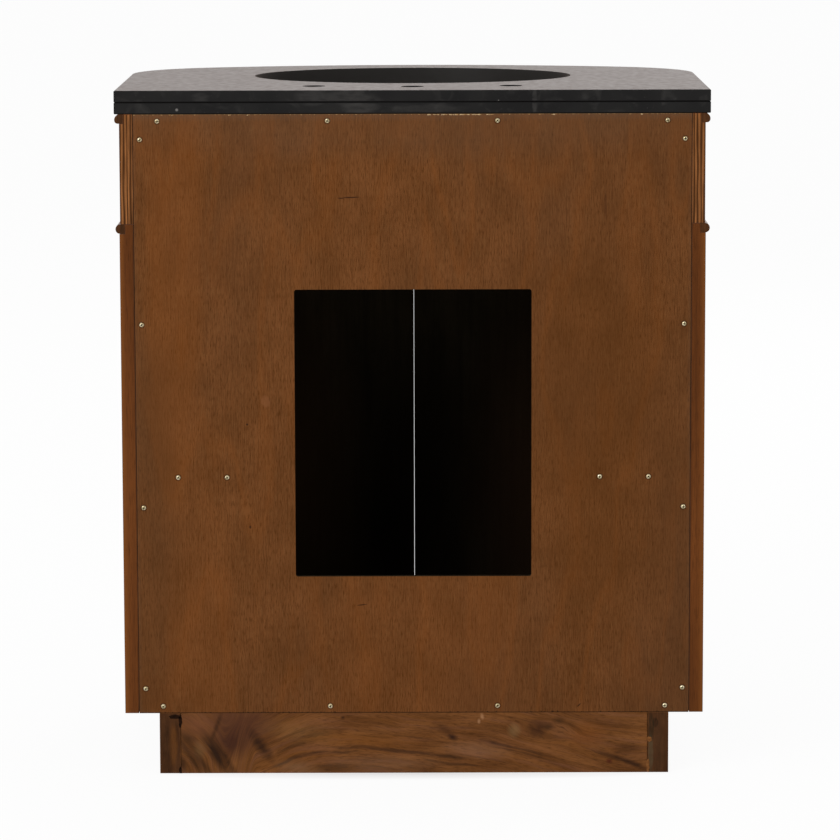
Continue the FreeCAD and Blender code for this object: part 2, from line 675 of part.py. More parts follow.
# Double magnetic catch under the head rail, and a strike plate on each door
CATCH_FRONT = f"({BOW_CENTRE} - {INNER_RADIUS} + plate_thickness + catch_gap)"
CATCH_MIDDLE = f"({RAIL_FOOT} - catch_height / 2)"
magnets = group("magnet_set", [
    box(
        "magnet",
        (f"{side} strike_offset - magnet_width / 2", f"{side} strike_offset + magnet_width / 2"),
        (CATCH_FRONT, f"{CATCH_FRONT} + magnet_depth"),
        (f"{CATCH_MIDDLE} - magnet_height / 2", f"{CATCH_MIDDLE} + magnet_height / 2"),
    )
    for side in ("-", "+")
])
keep("catch_magnets", magnets)
catch_block = box("catch_block", ("-catch_width / 2", "catch_width / 2"),
                  (CATCH_FRONT, f"{CATCH_FRONT} + catch_depth"), (f"{RAIL_FOOT} - catch_height", RAIL_FOOT))
catch_screw_line = f"{CATCH_FRONT} + (magnet_depth + catch_depth) / 2"
catch_places = [
    (f"{side} strike_offset", catch_screw_line, f"{RAIL_FOOT} - catch_height")
    for side in ("-", "+")
]
keep("catch_screws", copies("catch_screw_set", screw, catch_places, HEAD_DOWN))
catch_drills = copies("catch_drills", drill, catch_places, HEAD_DOWN)
keep("catch_body", cut("catch_fitted", catch_block, magnets, catch_drills))
keep("head_rail", cut("head_rail_drilled", head_rail, catch_drills))

strike_block = cut("strike_block", box(
    "strike_board",
    ("-strike_width / 2", "strike_width / 2"),
    ("-strike_height / 2", "strike_height / 2"),
    ("-plate_thickness", "0"),
), flat_head)


def on_door_inside(name, source):
    # Sets a plate or its screw on the hollow inner face of the door, the plate bearing on its two ends.
    hollow = f"({INNER_RADIUS} - sqrt({INNER_RADIUS} ^ 2 - strike_width ^ 2 / 4))"
    backward = group(f"{name}_backward", [copy_at(source, y=f"plate_thickness + {hollow}", turn=HEAD_BACK)])
    height = f"{BOW_CENTRE} - sqrt({INNER_RADIUS} ^ 2 - strike_offset ^ 2)"
    level = f"{RAIL_FOOT} - catch_height / 2 - door_gap / 2"
    placed = copy_at(backward, "strike_offset", height, level, FreeCAD.Rotation(VECTOR(0, 0, 1), 1))
    bind(placed, "Placement.Rotation.Angle", f"asin(strike_offset / {INNER_RADIUS})")
    return group(name, [placed])


keep_pair("strike_plate", on_door_inside("strike_set", strike_block))
keep_pair("strike_screw", on_door_inside("strike_screw_set", flat_screw))
door_drills.append(on_door_inside("strike_hole_set", flat_drill))
keep_pair("door", cut("door_drilled", door_slab, *door_drills))

doc.recompute()
for item in doc.Objects:
    if "Invalid" in item.State or "Error" in item.State:
        raise RuntimeError(f"{item.Label}: {item.State}")
os.makedirs("parts", exist_ok=True)
for item in nodes:
    if item.Shape.isNull() or not item.Shape.isValid() or not item.Shape.Solids:
        raise RuntimeError(f"{item.Label}: no valid solid")
    item.Shape.exportStep(f"parts/{item.Label}.step")
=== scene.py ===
import json
import math
import random
import bmesh
import bpy
from mathutils import Matrix, Quaternion, Vector


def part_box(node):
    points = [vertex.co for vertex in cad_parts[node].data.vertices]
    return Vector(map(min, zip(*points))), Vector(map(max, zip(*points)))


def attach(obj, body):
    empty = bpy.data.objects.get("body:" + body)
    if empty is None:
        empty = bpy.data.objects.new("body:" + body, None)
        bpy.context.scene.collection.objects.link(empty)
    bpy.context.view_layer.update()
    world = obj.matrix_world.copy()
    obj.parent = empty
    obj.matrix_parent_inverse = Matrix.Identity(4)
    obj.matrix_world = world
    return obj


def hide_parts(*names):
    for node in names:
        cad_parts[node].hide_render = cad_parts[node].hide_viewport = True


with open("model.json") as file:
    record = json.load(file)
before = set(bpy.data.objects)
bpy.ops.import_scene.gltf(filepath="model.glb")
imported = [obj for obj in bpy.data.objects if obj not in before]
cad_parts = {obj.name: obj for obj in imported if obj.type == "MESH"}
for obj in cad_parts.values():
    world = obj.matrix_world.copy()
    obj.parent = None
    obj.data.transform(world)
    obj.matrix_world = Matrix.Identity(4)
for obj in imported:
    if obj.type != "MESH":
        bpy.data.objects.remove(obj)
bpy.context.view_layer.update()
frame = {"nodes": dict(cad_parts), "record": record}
nodes = frame["nodes"]
bodyOf = {name: body for body, names in frame["record"]["behaviour"]["bodies"].items() for name in names}
random.seed(11)
mm = 0.001
sameSpot = 1e-6  # metres: points closer than this are one
print("frame loaded:", len(nodes), "nodes")

# The chest's main sizes in metres: the wall plane is y = 0, the doors face -y
chest = {
    "middle": (0.0, -0.27, 0.45),  # a point well inside the case
    "bowCentre": 0.221,  # the bowed front turns about this y
    "faceRadius": 0.7745,
    "innerRadius": 0.7565,
    "turnCentre": -0.20,  # boards that run round the front are unrolled about this y
    "turnRadius": 0.42,
    "plinthTop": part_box("plinth_back")[1].z,
    "caseTop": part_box("back_panel")[1].z,
    "slabJoint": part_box("lower_slab")[1].z,
    "panelEdge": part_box("back_panel")[1].x,
    "caseEdge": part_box("side_panel_right")[1].x,
}


def linear(code):  # sRGB hex to linear colour
    parts = [int(code[i:i + 2], 16) / 255 for i in (1, 3, 5)]
    return tuple(c / 12.92 if c <= 0.04045 else ((c + 0.055) / 1.055) ** 2.4 for c in parts) + (1.0,)


def addNode(tree, kind, inputs=(), node=None, **settings):  # a new node, or more links for one that exists
    node = node or tree.nodes.new("ShaderNode" + kind)
    for setting, value in settings.items():
        setattr(node, setting, value)
    for socket, value in inputs.items() if isinstance(inputs, dict) else enumerate(inputs):
        if isinstance(value, bpy.types.Node):
            value = value.outputs[0]
        if isinstance(value, bpy.types.NodeSocket):
            tree.links.new(value, node.inputs[socket])
        else:
            node.inputs[socket].default_value = value
    return node


def startMaterial(name, constants):  # constants are the shader's values that stay the same all over
    material = bpy.data.materials.new(name)
    material.use_nodes = True
    tree = material.node_tree
    shader = addNode(tree, "", constants, tree.nodes["Principled BSDF"])
    return material, tree, shader


def grainPlace(tree, along):  # a place in metres whose first part runs along the grain
    x, y, z = addNode(tree, "SeparateXYZ", [addNode(tree, "TexCoord").outputs["Object"]]).outputs
    if along == "round":  # unrolled round the bowed front
        ahead = addNode(tree, "Math", [chest["turnCentre"], y], operation="SUBTRACT")
        turn = addNode(tree, "Math", [x, ahead], operation="ARCTAN2")
        run = addNode(tree, "Math", [turn, chest["turnRadius"]], operation="MULTIPLY")
        return addNode(tree, "CombineXYZ", [run, z, 0.0])
    order = {"x": (x, z, y), "y": (y, z, x), "z": (z, x, y)}[along]
    return addNode(tree, "CombineXYZ", order)


def streaks(tree, place, size, detail=2.0, warp=0.0):  # noise of a real size: millimetres along and across
    long, wide = size
    sized = addNode(tree, "Mapping", {"Vector": place, "Scale": (1000 / long, 1000 / wide, 1000 / wide)})
    return addNode(tree, "TexNoise", {"Vector": sized, "Scale": 1.0, "Detail": detail, "Distortion": warp})


def spot(tree, centre, reach, turn=0.0, deep=0.05, fade=0.45):
    # 1 inside an ellipse seen from behind, less towards its edge
    where = addNode(tree, "TexCoord").outputs["Object"]
    local = addNode(tree, "Mapping", {
        "Vector": where, "Location": (centre[0], 0.0, centre[1]),
        "Rotation": (0.0, turn, 0.0), "Scale": (reach[0], deep, reach[1]),
    }, vector_type="TEXTURE")
    ball = addNode(tree, "TexGradient", [local], gradient_type="SPHERICAL")
    return addNode(tree, "MapRange", [ball, 0.0, fade, 0.0, 1.0])


def stain(tree, color, mask, share, paint):  # the colour with a share of paint where the mask is 1
    part = addNode(tree, "Math", [mask, share], operation="MULTIPLY")
    return addNode(tree, "MixRGB", [part, color, linear(paint)])


def ragged(tree, mask, broken, bite=(0.4, 1.4), noise=(0.32, 0.68), edge=0.15):
    # a mask whose edge and inside are broken up by a noise
    lumps = addNode(tree, "MapRange", [broken, *noise, *bite])
    product = addNode(tree, "Math", [mask, lumps], operation="MULTIPLY")
    return addNode(tree, "MapRange", [product, edge, 1.0, 0.0, 1.0])


def finishSurface(tree, shader, color, height, bump, relief, rough=None):  # relief in millimetres
    raised = addNode(tree, "Bump", {"Strength": bump, "Distance": relief * mm, "Height": height})
    addNode(tree, "", {"Base Color": color, "Normal": raised}, shader)
    if rough is not None:
        addNode(tree, "", {"Roughness": rough}, shader)


# Levels of noise between which each layer of a wood fades in, and what its pores do to gloss and relief.
# Pores are drawn 1.1 to 1.4 mm wide, three or four times their real width, so that they show.
woodLayer = {
    "cloud": (0.34, 0.66), "line": (0.46, 0.72), "pore": (0.50, 0.74),
    "gloss": (0.35, 0.75), "smoother": 0.05, "rougher": 0.08, "hollow": (0.45, 0.75), "bump": 0.5,
}


def woodLayers(tree, place, look):  # clouds of stain, growth lines and open pores
    cloud = streaks(tree, place, look["cloudSize"], look["cloudDetail"])
    band = streaks(tree, place, look["lineSize"], 3.0, look["lineWarp"])
    fibre = streaks(tree, place, look["poreSize"], 2.0)
    tone = addNode(tree, "MapRange", [cloud, *woodLayer["cloud"], 0.0, 1.0])
    color = addNode(tree, "MixRGB", [tone, linear(look["dark"]), linear(look["light"])])
    lines = addNode(tree, "MapRange", [band, *woodLayer["line"], 0.0, look["lineDepth"]])
    color = addNode(tree, "MixRGB", [lines, color, linear(look["line"])])
    pores = addNode(tree, "MapRange", [fibre, *woodLayer["pore"], 0.0, look["poreDepth"]])
    return addNode(tree, "MixRGB", [pores, color, linear(look["pore"])]), fibre


def finishWood(tree, shader, color, fibre, look):  # pores are rougher and lower than the film over them
    film, pore = look["rough"] - woodLayer["smoother"], look["rough"] + woodLayer["rougher"]
    rough = addNode(tree, "MapRange", [fibre, *woodLayer["gloss"], film, pore])
    height = addNode(tree, "MapRange", [fibre, *woodLayer["hollow"], 1.0, 0.0])
    finishSurface(tree, shader, color, height, woodLayer["bump"], look["relief"], rough)


def solidBoxes(name):  # lowest and highest corner of each separate solid in a node
    work = bmesh.new()
    work.from_mesh(nodes[name].data)
    bmesh.ops.remove_doubles(work, verts=work.verts, dist=sameSpot)
    unseen = set(work.verts)
    boxes = []
    while unseen:
        edge = [unseen.pop()]
        group = list(edge)
        while edge:
            near = {link.other_vert(vert) for vert in edge for link in vert.link_edges} & unseen
            unseen -= near
            edge = list(near)
            group += edge
        places = [vert.co for vert in group]
        boxes.append((Vector(map(min, *places)), Vector(map(max, *places))))
    work.free()
    return sorted(boxes, key=lambda box: tuple(round(part, 5) for part in box[0]))


# Lauan plywood with a wiped stain: dull orange going grey brown in clouds, with dense short pores.
panelLook = {
    "light": "#704422", "dark": "#633b1b", "line": "#3d1d02", "pore": "#3f1f01",
    "cloudSize": (62, 46), "cloudDetail": 4.0, "lineSize": (42, 1.9), "lineWarp": 0.5, "poreSize": (9, 1.1),
    "lineDepth": 0.42, "poreDepth": 0.80, "rough": 0.62, "relief": 0.08,
    "broad": "#52351f", "broadSize": (330, 150), "broadWarp": 0.6, "broadCut": (0.44, 0.66),
    "broadDepth": 0.32,
    "fleck": "#7b5430", "fleckSize": (16, 1.3), "fleckCut": (0.50, 0.72), "fleckDepth": 0.26,
    "figure": "#82481a", "figureSize": (430, 95), "figureBands": 5.0,  # growth bands of the veneer
    "figureCut": (0.28, 0.50), "figureDepth": 0.18,
    "grime": "#5e4a3a", "grimeTop": (0.012, 0.40), "grimeSides": (0.006, 0.15),  # reach and share of dust
    "ring": (0.0034, 0.0052), "ringShare": 0.6,  # reach and share of painted shade round each screw head, with some grime
    # the joint colour paints shade: round the screws, under the stone along the top and in the gap at the
    # foot
    "rawWood": "#a98357", "bruise": "#2a160b", "bruiseShare": 0.8, "joint": "#1a0f08",
    "zones": (  # middle, half size, slope, share and paint of places where the stain took differently
        ((0.350, 0.300), (0.060, 0.340), 0.00, 0.40, "#4c3119"),
        ((0.305, 0.640), (0.046, 0.380), -0.04, 0.26, "#7a4316"),
        ((0.275, 0.230), (0.060, 0.260), 0.05, 0.20, "#7c461b"),
        ((0.000, 0.866), (0.520, 0.080), 0.00, 0.24, "#5d4430"),
        ((-0.240, 0.440), (0.150, 0.320), 0.10, 0.38, "#552f0c"),
        ((-0.335, 0.200), (0.070, 0.300), 0.00, 0.28, "#4f3521"),
        ((-0.020, 0.170), (0.160, 0.160), 0.00, 0.14, "#7c451a"),
        ((0.190, 0.489), (0.008, 0.010), 0.20, 0.35, "#8a5838"),
        ((-0.247, 0.742), (0.0022, 0.022), 0.00, 0.35, "#3a1e0c"),
        ((0.214, 0.459), (0.0016, 0.0016), 0.00, 0.90, "#2a160b"),
        ((0.211, 0.325), (0.0016, 0.0026), 0.00, 0.90, "#2a160b"),
    ),
    "scratches": (  # middle, half size and slope of each bruise, in metres and radians
        ((0.079, 0.752), (0.0135, 0.0011), 0.03),
        ((0.092, 0.751), (0.0050, 0.0008), -0.05),
        ((0.067, 0.2225), (0.0080, 0.0009), 0.10),
        ((-0.2145, 0.0895), (0.0042, 0.0010), 0.75),
    ),
    "chipGrain": (3.5, 3.5), "chipCut": (0.54, 0.72), "chipHigh": 0.0014,  # torn bits along the edges
    "tornTop": (-0.0009, -0.0004, 0.75, "rawWood"),  # begin and full from the edge, share and paint
    # painted shadow under the stone along the top, and painted shade where the panel meets the plinth
    "topJoint": (-0.0008, -0.0003, 0.90, "joint"),
    "footGap": (0.0012, 0.0004, 0.85, "joint"),
}


def stainedPanel():
    material, tree, shader = startMaterial("lauan plywood, wiped stain", {"Specular IOR Level": 0.05})
    place = grainPlace(tree, "z")
    color, fibre = woodLayers(tree, place, panelLook)
    broad = streaks(tree, place, panelLook["broadSize"], 2.0, panelLook["broadWarp"])
    figure = streaks(tree, place, panelLook["figureSize"], 2.0)
    bands = addNode(tree, "Math", [figure, panelLook["figureBands"]], operation="MULTIPLY")
    band = addNode(tree, "Math", [bands, 0.5], operation="PINGPONG")
    fleck = streaks(tree, place, panelLook["fleckSize"], 1.0)
    for part, noise in (("broad", broad), ("figure", band), ("fleck", fleck)):
        mask = addNode(tree, "MapRange", [noise, *panelLook[f"{part}Cut"], 0.0, 1.0])
        color = stain(tree, color, mask, panelLook[f"{part}Depth"], panelLook[part])
    for middle, reach, slope, share, paint in panelLook["zones"]:
        color = stain(tree, color, ragged(tree, spot(tree, middle, reach, slope), figure), share, paint)
    for middle, reach, slope in panelLook["scratches"]:
        bruise = spot(tree, middle, reach, slope)
        color = stain(tree, color, bruise, panelLook["bruiseShare"], panelLook["bruise"])
    where = addNode(tree, "TexCoord").outputs["Object"]
    nearest = None  # painted shade, with some grime, round the screw heads
    for low, high in solidBoxes("back_panel_screws"):
        away = addNode(tree, "VectorMath", [where, (low + high) / 2 + Vector((0, (high.y - low.y) / 2, 0))],
                       operation="DISTANCE").outputs["Value"]
        nearest = addNode(tree, "Math", [nearest, away], operation="MINIMUM") if nearest else away
    rings = addNode(tree, "MapRange", [nearest, *panelLook["ring"], 1.0, 0.0])
    color = stain(tree, color, rings, panelLook["ringShare"], panelLook["joint"])
    across, _, level = addNode(tree, "SeparateXYZ", [where]).outputs
    across = addNode(tree, "Math", [across], operation="ABSOLUTE")
    for away, edge, (reach, share) in ((level, chest["caseTop"], panelLook["grimeTop"]),
                                       (across, chest["panelEdge"], panelLook["grimeSides"])):
        near = addNode(tree, "MapRange", [away, edge - reach, edge, 0.0, 1.0])
        color = stain(tree, color, ragged(tree, near, fibre), share, panelLook["grime"])
    chips = streaks(tree, place, panelLook["chipGrain"], 2.0)
    tears = addNode(tree, "MapRange", [chips, *panelLook["chipCut"], 0.0, panelLook["chipHigh"]])
    tornTop = addNode(tree, "Math", [level, tears], operation="ADD")
    tornFoot = addNode(tree, "Math", [level, tears], operation="SUBTRACT")
    for part, height, edge in (("tornTop", tornTop, chest["caseTop"]), ("topJoint", level, chest["caseTop"]),
                               ("footGap", tornFoot, chest["plinthTop"])):
        begin, full, share, paint = panelLook[part]
        mask = addNode(tree, "MapRange", [height, edge + begin, edge + full, 0.0, 1.0])
        color = stain(tree, color, mask, share, panelLook[paint])
    finishWood(tree, shader, color, fibre, panelLook)
    return material


# Stained hardwood under satin lacquer: red brown, close grained, with long lines and a soft sheen.
hardwoodLook = {
    "name": "hardwood, stained and lacquered", "shine": 0.25,
    "light": "#6f3c19", "dark": "#532d13", "line": "#3a1e0d", "pore": "#2a1508",
    "cloudSize": (420, 60), "cloudDetail": 3.0, "lineSize": (520, 9), "lineWarp": 0.9, "poreSize": (22, 1.2),
    "lineDepth": 0.6, "poreDepth": 0.5, "rough": 0.40, "relief": 0.04,
}


def plainWood(look, along, patches=()):  # a board of one look, with patches of painted light and shade where any are given
    name = f"{look['name']}, grain {along}"
    material, tree, shader = startMaterial(name, {"Specular IOR Level": look["shine"]})
    color, fibre = woodLayers(tree, grainPlace(tree, along), look)
    for middle, reach, share, paint in patches:
        patch = spot(tree, middle, reach, deep=look["patchDeep"], fade=look["patchFade"])
        color = stain(tree, color, patch, share, paint)
    finishWood(tree, shader, color, fibre, look)
    return material


# Sawn back edges of the sides, stained but not lacquered: dull, dark by the panel, worn pale outside.
sawnLook = dict(hardwoodLook, light="#703f1b", dark="#5f3415", rough=0.65, lineDepth=0.4, worn="#7d4a20",
                joint="#241308", jointReach=0.0028, wornReach=0.007, edgeShare=0.75)


def sawnEdge():
    material, tree, shader = startMaterial("hardwood, sawn edge", {"Specular IOR Level": 0.05})
    color, fibre = woodLayers(tree, grainPlace(tree, "z"), sawnLook)
    across = addNode(tree, "SeparateXYZ", [addNode(tree, "TexCoord").outputs["Object"]]).outputs["X"]
    across = addNode(tree, "Math", [across], operation="ABSOLUTE")
    for near, far, paint in ((chest["panelEdge"] + sawnLook["jointReach"], chest["panelEdge"], "joint"),
                             (chest["caseEdge"] - sawnLook["wornReach"], chest["caseEdge"], "worn")):
        edge = addNode(tree, "MapRange", [across, near, far, 0.0, 1.0])
        color = stain(tree, color, edge, sawnLook["edgeShare"], sawnLook[paint])
    finishWood(tree, shader, color, fibre, sawnLook)
    return material


# Inside the case, nearly black: a dark stain darkened further as painted shade for the closed case, with
# painted light and shade on the doors.
washAndShadeLook = {
    "name": "hardwood, dark wash", "shine": 0.02,
    "light": "#2a2318", "dark": "#1e180f", "line": "#140e08", "pore": "#0e0906",
    "cloudSize": (160, 60), "cloudDetail": 3.0, "lineSize": (300, 9), "lineWarp": 0.6, "poreSize": (20, 1.4),
    "lineDepth": 0.4, "poreDepth": 0.3, "rough": 0.85, "relief": 0.05,
    "patchDeep": 50.0, "patchFade": 0.9,  # the painted light and shade go right through and have soft edges
    "patches": (  # middle, half size, share and paint of painted light and shade on the doors' inner faces: a painted shadow in the middle, painted light at each side
        ((0.008, 0.235), (0.190, 0.300), 0.80, "#070504"),
        ((0.165, 0.300), (0.110, 0.340), 0.55, "#3a2615"),
        ((-0.165, 0.300), (0.110, 0.340), 0.55, "#352214"),
    ),
}


# Sawn ends of the frieze's bent plywood: bare layers, pale and dark in turn.
plyLook = dict(sawnLook, plyDark="#43260f", plyPale="#a0673a", plyThickness=4.5, paleShare=(0.15, 0.85),
               wanderSize=(90, 5), wanderCut=(0.25, 0.75), wander=1.2,  # the layers wander by this, in mm
               fadeSize=(35, 2.2), fadeCut=(0.3, 0.7), fade=(0.35, 1.0))


def plyEnds():
    material, tree, shader = startMaterial("bent plywood, sawn ends", {"Specular IOR Level": 0.05})
    across = addNode(tree, "SeparateXYZ", [addNode(tree, "TexCoord").outputs["Object"]]).outputs["X"]
    upGrain = grainPlace(tree, "z")
    fibre = streaks(tree, upGrain, plyLook["poreSize"], 2.0)
    wander = streaks(tree, upGrain, plyLook["wanderSize"], 2.0)
    half, sway = plyLook["plyThickness"] * mm / 2, plyLook["wander"] * mm
    drift = addNode(tree, "MapRange", [wander, *plyLook["wanderCut"], -sway, sway])
    drifted = addNode(tree, "Math", [across, drift], operation="ADD")
    layer = addNode(tree, "Math", [drifted, half], operation="PINGPONG")
    start, full = plyLook["paleShare"]
    pale = addNode(tree, "MapRange", [layer, start * half, full * half, 0.0, 1.0])
    worn = streaks(tree, upGrain, plyLook["fadeSize"], 3.0)
    fade = addNode(tree, "MapRange", [worn, *plyLook["fadeCut"], *plyLook["fade"]])
    pale = addNode(tree, "Math", [pale, fade], operation="MULTIPLY")
    color = addNode(tree, "MixRGB", [pale, linear(plyLook["plyDark"]), linear(plyLook["plyPale"])])
    finishWood(tree, shader, color, fibre, plyLook)
    return material


# Figured plinth timber, oiled: long sweeping lines that fan out at one end and part round an eye.
plinthLook = {
    "light": "#7d4f29", "dark": "#613a1a", "line": "#3d210a", "pore": "#2e1604",
    "cloudSize": (70, 20), "cloudDetail": 4.0, "lineSize": (150, 7), "lineWarp": 0.9, "poreSize": (10, 1.1),
    "lineDepth": 0.42, "poreDepth": 0.60, "rough": 0.55, "relief": 0.06,
    "fineSize": (80, 2.2), "fineCut": (0.5, 0.75), "fineDepth": 0.36,
    "wave": 3.5, "waveSize": (110, 45), "waveCut": (0.25, 0.75),  # small waves in the lines, in mm
    "tints": (((90, 9), "#7a5140", 0.24), ((120, 12), "#85501d", 0.24)),  # pink and orange bands
    "tintCut": (0.48, 0.70),
    "sweep": ((0.245, 0.115, 0.038), (0.085, -0.06, -0.014), (-0.05, -0.303, -0.050)),  # from x, to x, rise
    "fan": (0.341, -0.017), "fanRun": (0.205, 0.250),  # rings round this place beyond this run
    "fanWave": 5.0, "fanWaveSize": (45, 45),
    "eye": ((-0.168, 0.056), (0.050, 0.020)), "eyeLine": 0.0557, "eyeClear": 0.70,  # lines part round it
    "lines": (  # level on the swept grain, half width, from x, to x and share of single dark growth lines
        (-0.0030, 0.0044, 0.112, -0.076, 0.62), (-0.0085, 0.0040, 0.196, 0.104, 0.60),
        (-0.0100, 0.0044, 0.122, 0.062, 0.52), (-0.0115, 0.0028, -0.004, -0.102, 0.50),
        (0.0135, 0.0024, 0.089, 0.018, 0.36), (0.0178, 0.0024, 0.042, -0.032, 0.36),
        (0.0230, 0.0028, -0.078, -0.190, 0.45), (0.0180, 0.0020, -0.096, -0.190, 0.36),
        (-0.0310, 0.0070, 0.140, 0.064, 0.45), (0.0060, 0.0040, 0.186, 0.122, 0.42),
        (0.0130, 0.0030, 0.164, 0.104, 0.32),
    ),
    "lineFade": 0.026, "linePeak": 1.4, "lineInk": "#25160c",
    "markGrain": (18, 5), "markFade": 0.85, "markBite": (0.75, 1.2),
    "marks": (  # middle, half size, slope, share and paint of darker and paler places on the back board
        ((0.250, 0.066), (0.090, 0.052), 0.0, 0.75, "#613c24"),
        ((0.222, 0.064), (0.060, 0.040), 0.0, 0.75, "#4a2a1b"),
        ((0.237, 0.040), (0.036, 0.032), 0.3, 0.85, "#3c2116"),
        ((0.200, 0.037), (0.012, 0.038), 0.62, 0.85, "#2a180d"),
        ((0.257, 0.023), (0.011, 0.060), 0.54, 0.90, "#22140b"),
        ((0.246, 0.021), (0.007, 0.052), 0.54, 0.70, "#2a180c"),
        ((0.257, 0.062), (0.005, 0.030), -0.35, 0.70, "#2c190c"),
        ((0.288, 0.017), (0.007, 0.040), 0.60, 0.75, "#2a190c"),
        ((0.277, 0.015), (0.008, 0.038), 0.58, 0.75, "#2a190c"),
        ((0.297, 0.044), (0.022, 0.022), 0.0, 0.60, "#2f1d0e"),
        ((0.302, 0.013), (0.010, 0.020), 0.0, 0.65, "#2a190d"),
        ((0.279, 0.032), (0.012, 0.018), 0.0, 0.35, "#6e5435"),
        ((0.283, 0.064), (0.034, 0.022), 0.0, 0.40, "#7a4a2f"),
        ((0.150, 0.056), (0.070, 0.022), -0.1, 0.22, "#6d5430"),
        ((0.150, 0.006), (0.046, 0.016), -0.2, 0.28, "#8a6a4e"),
        ((0.040, 0.012), (0.100, 0.018), 0.0, 0.22, "#856650"),
        ((0.060, 0.043), (0.100, 0.014), -0.05, 0.26, "#8a5218"),
        ((-0.082, 0.030), (0.060, 0.016), -0.1, 0.25, "#8a6a56"),
        ((-0.160, 0.058), (0.018, 0.017), 0.0, 0.75, "#331b0e"),
        ((-0.174, 0.061), (0.011, 0.008), 0.0, 0.60, "#34200f"),
        ((-0.188, 0.069), (0.012, 0.008), 0.0, 0.60, "#34200f"),
        ((-0.130, 0.056), (0.012, 0.014), 0.2, 0.30, "#8f7750"),
        ((-0.225, 0.050), (0.036, 0.024), 0.0, 0.28, "#874a17"),
        ((-0.050, 0.047), (0.010, 0.0056), -0.35, 1.0, "#1a0d0c"),
        ((-0.041, 0.056), (0.026, 0.009), -0.60, 0.55, "#3f2412"),
        ((-0.0885, 0.0745), (0.0036, 0.0064), 0.2, 0.50, "#b98a63"),
        ((-0.0845, 0.0685), (0.0032, 0.0050), 0.0, 0.55, "#b98a63"),
        ((0.0925, 0.0735), (0.0044, 0.0034), 0.0, 0.80, "#2a160c"),
        ((-0.280, 0.031), (0.028, 0.012), 0.1, 0.60, "#402410"),
        ((-0.268, 0.018), (0.048, 0.0052), -0.32, 0.75, "#28160b"),
        ((-0.288, 0.010), (0.026, 0.0056), -0.42, 0.70, "#28160b"),
        ((-0.254, 0.015), (0.0060, 0.0050), 0.0, 0.75, "#47190f"),
    ),
}


def figuredPlinth(along):
    material, tree, shader = startMaterial(f"figured hardwood, oiled, grain {along}",
                                           {"Specular IOR Level": 0.06})
    place = grainPlace(tree, along)
    run, rise, depth = addNode(tree, "SeparateXYZ", [place]).outputs
    sway = streaks(tree, place, plinthLook["waveSize"], 2.0)
    wave, fanWave = plinthLook["wave"] * mm, plinthLook["fanWave"] * mm
    lift = addNode(tree, "MapRange", [sway, *plinthLook["waveCut"], -wave, wave])
    across = addNode(tree, "Math", [rise, lift], operation="ADD")
    if along == "x":  # only the back board has the sweep, the fan and the eye
        for start, end, height in plinthLook["sweep"]:
            slope = addNode(tree, "MapRange", [run, start, end, 0.0, height],
                            interpolation_type="SMOOTHSTEP")
            across = addNode(tree, "Math", [across, slope], operation="SUBTRACT")
        swept = across
        face = addNode(tree, "CombineXYZ", [run, rise, 0.0])
        rings = addNode(tree, "VectorMath", [face, (*plinthLook["fan"], 0.0)], operation="DISTANCE")
        wobble = streaks(tree, place, plinthLook["fanWaveSize"], 1.0)
        wobble = addNode(tree, "MapRange", [wobble, *plinthLook["waveCut"], -fanWave, fanWave])
        rings = addNode(tree, "Math", [rings.outputs["Value"], wobble], operation="ADD")
        far = addNode(tree, "MapRange", [run, *plinthLook["fanRun"], 0.0, 1.0],
                      interpolation_type="SMOOTHSTEP")
        across = addNode(tree, "MixRGB", [far, across, rings])
        eye = spot(tree, *plinthLook["eye"])
        eye = addNode(tree, "Math", [eye, plinthLook["eyeClear"]], operation="MULTIPLY")
        still = addNode(tree, "CombineXYZ", [plinthLook["eyeLine"]] * 3)
        across = addNode(tree, "MixRGB", [eye, across, still])
    bent = addNode(tree, "CombineXYZ", [run, across, depth])
    color, fibre = woodLayers(tree, bent, plinthLook)
    fine = streaks(tree, bent, plinthLook["fineSize"], 2.0)
    fine = addNode(tree, "MapRange", [fine, *plinthLook["fineCut"], 0.0, 1.0])
    color = stain(tree, color, fine, plinthLook["fineDepth"], plinthLook["line"])
    for size, paint, share in plinthLook["tints"]:
        tint = streaks(tree, bent, size, 3.0)
        tint = addNode(tree, "MapRange", [tint, *plinthLook["tintCut"], 0.0, 1.0])
        color = stain(tree, color, tint, share, paint)
    if along == "x":
        broken = streaks(tree, bent, plinthLook["markGrain"], 3.0)
        fade = plinthLook["lineFade"]
        for level, half, start, end, share in plinthLook["lines"]:
            away = addNode(tree, "Math", [swept, level], operation="SUBTRACT")
            away = addNode(tree, "Math", [away], operation="ABSOLUTE")
            line = addNode(tree, "MapRange", [away, 0.0, half, plinthLook["linePeak"], 0.0])
            for edge, inside in ((start, start - fade), (end, end + fade)):
                reach = addNode(tree, "MapRange", [run, edge, inside, 0.0, 1.0])
                line = addNode(tree, "Math", [line, reach], operation="MULTIPLY")
            color = stain(tree, color, ragged(tree, line, broken), share, plinthLook["lineInk"])
        for middle, reach, slope, share, paint in plinthLook["marks"]:
            patch = spot(tree, middle, reach, slope, fade=plinthLook["markFade"])
            color = stain(tree, color, ragged(tree, patch, broken, plinthLook["markBite"]), share, paint)
    finishWood(tree, shader, color, fibre, plinthLook)
    return material


# Sawn ends of the plinth's side boards: dark, dull end grain.
endLook = dict(plinthLook, light="#54341d", dark="#412613", line="#33200f", pore="#2c1a0d", rough=0.7,
               cloudSize=(30, 9), lineSize=(34, 3.0), lineDepth=0.45, poreDepth=0.3,
               ends=(  # middle, half size, share and paint of marks on the two ends
                   ((0.3135, 0.038), (0.007, 0.034), 0.4, "#74461d"),
                   ((0.322, 0.030), (0.008, 0.050), 0.4, "#2a1a0e"),
                   ((-0.314, 0.066), (0.005, 0.008), 0.7, "#1c120a"),
                   ((-0.318, 0.030), (0.010, 0.050), 0.3, "#4a3320"),
                   ((-0.3080, 0.026), (0.0045, 0.034), 0.6, "#5c4c36"),
                   ((-0.3085, 0.060), (0.0055, 0.022), 0.6, "#2b2214"),
               ))


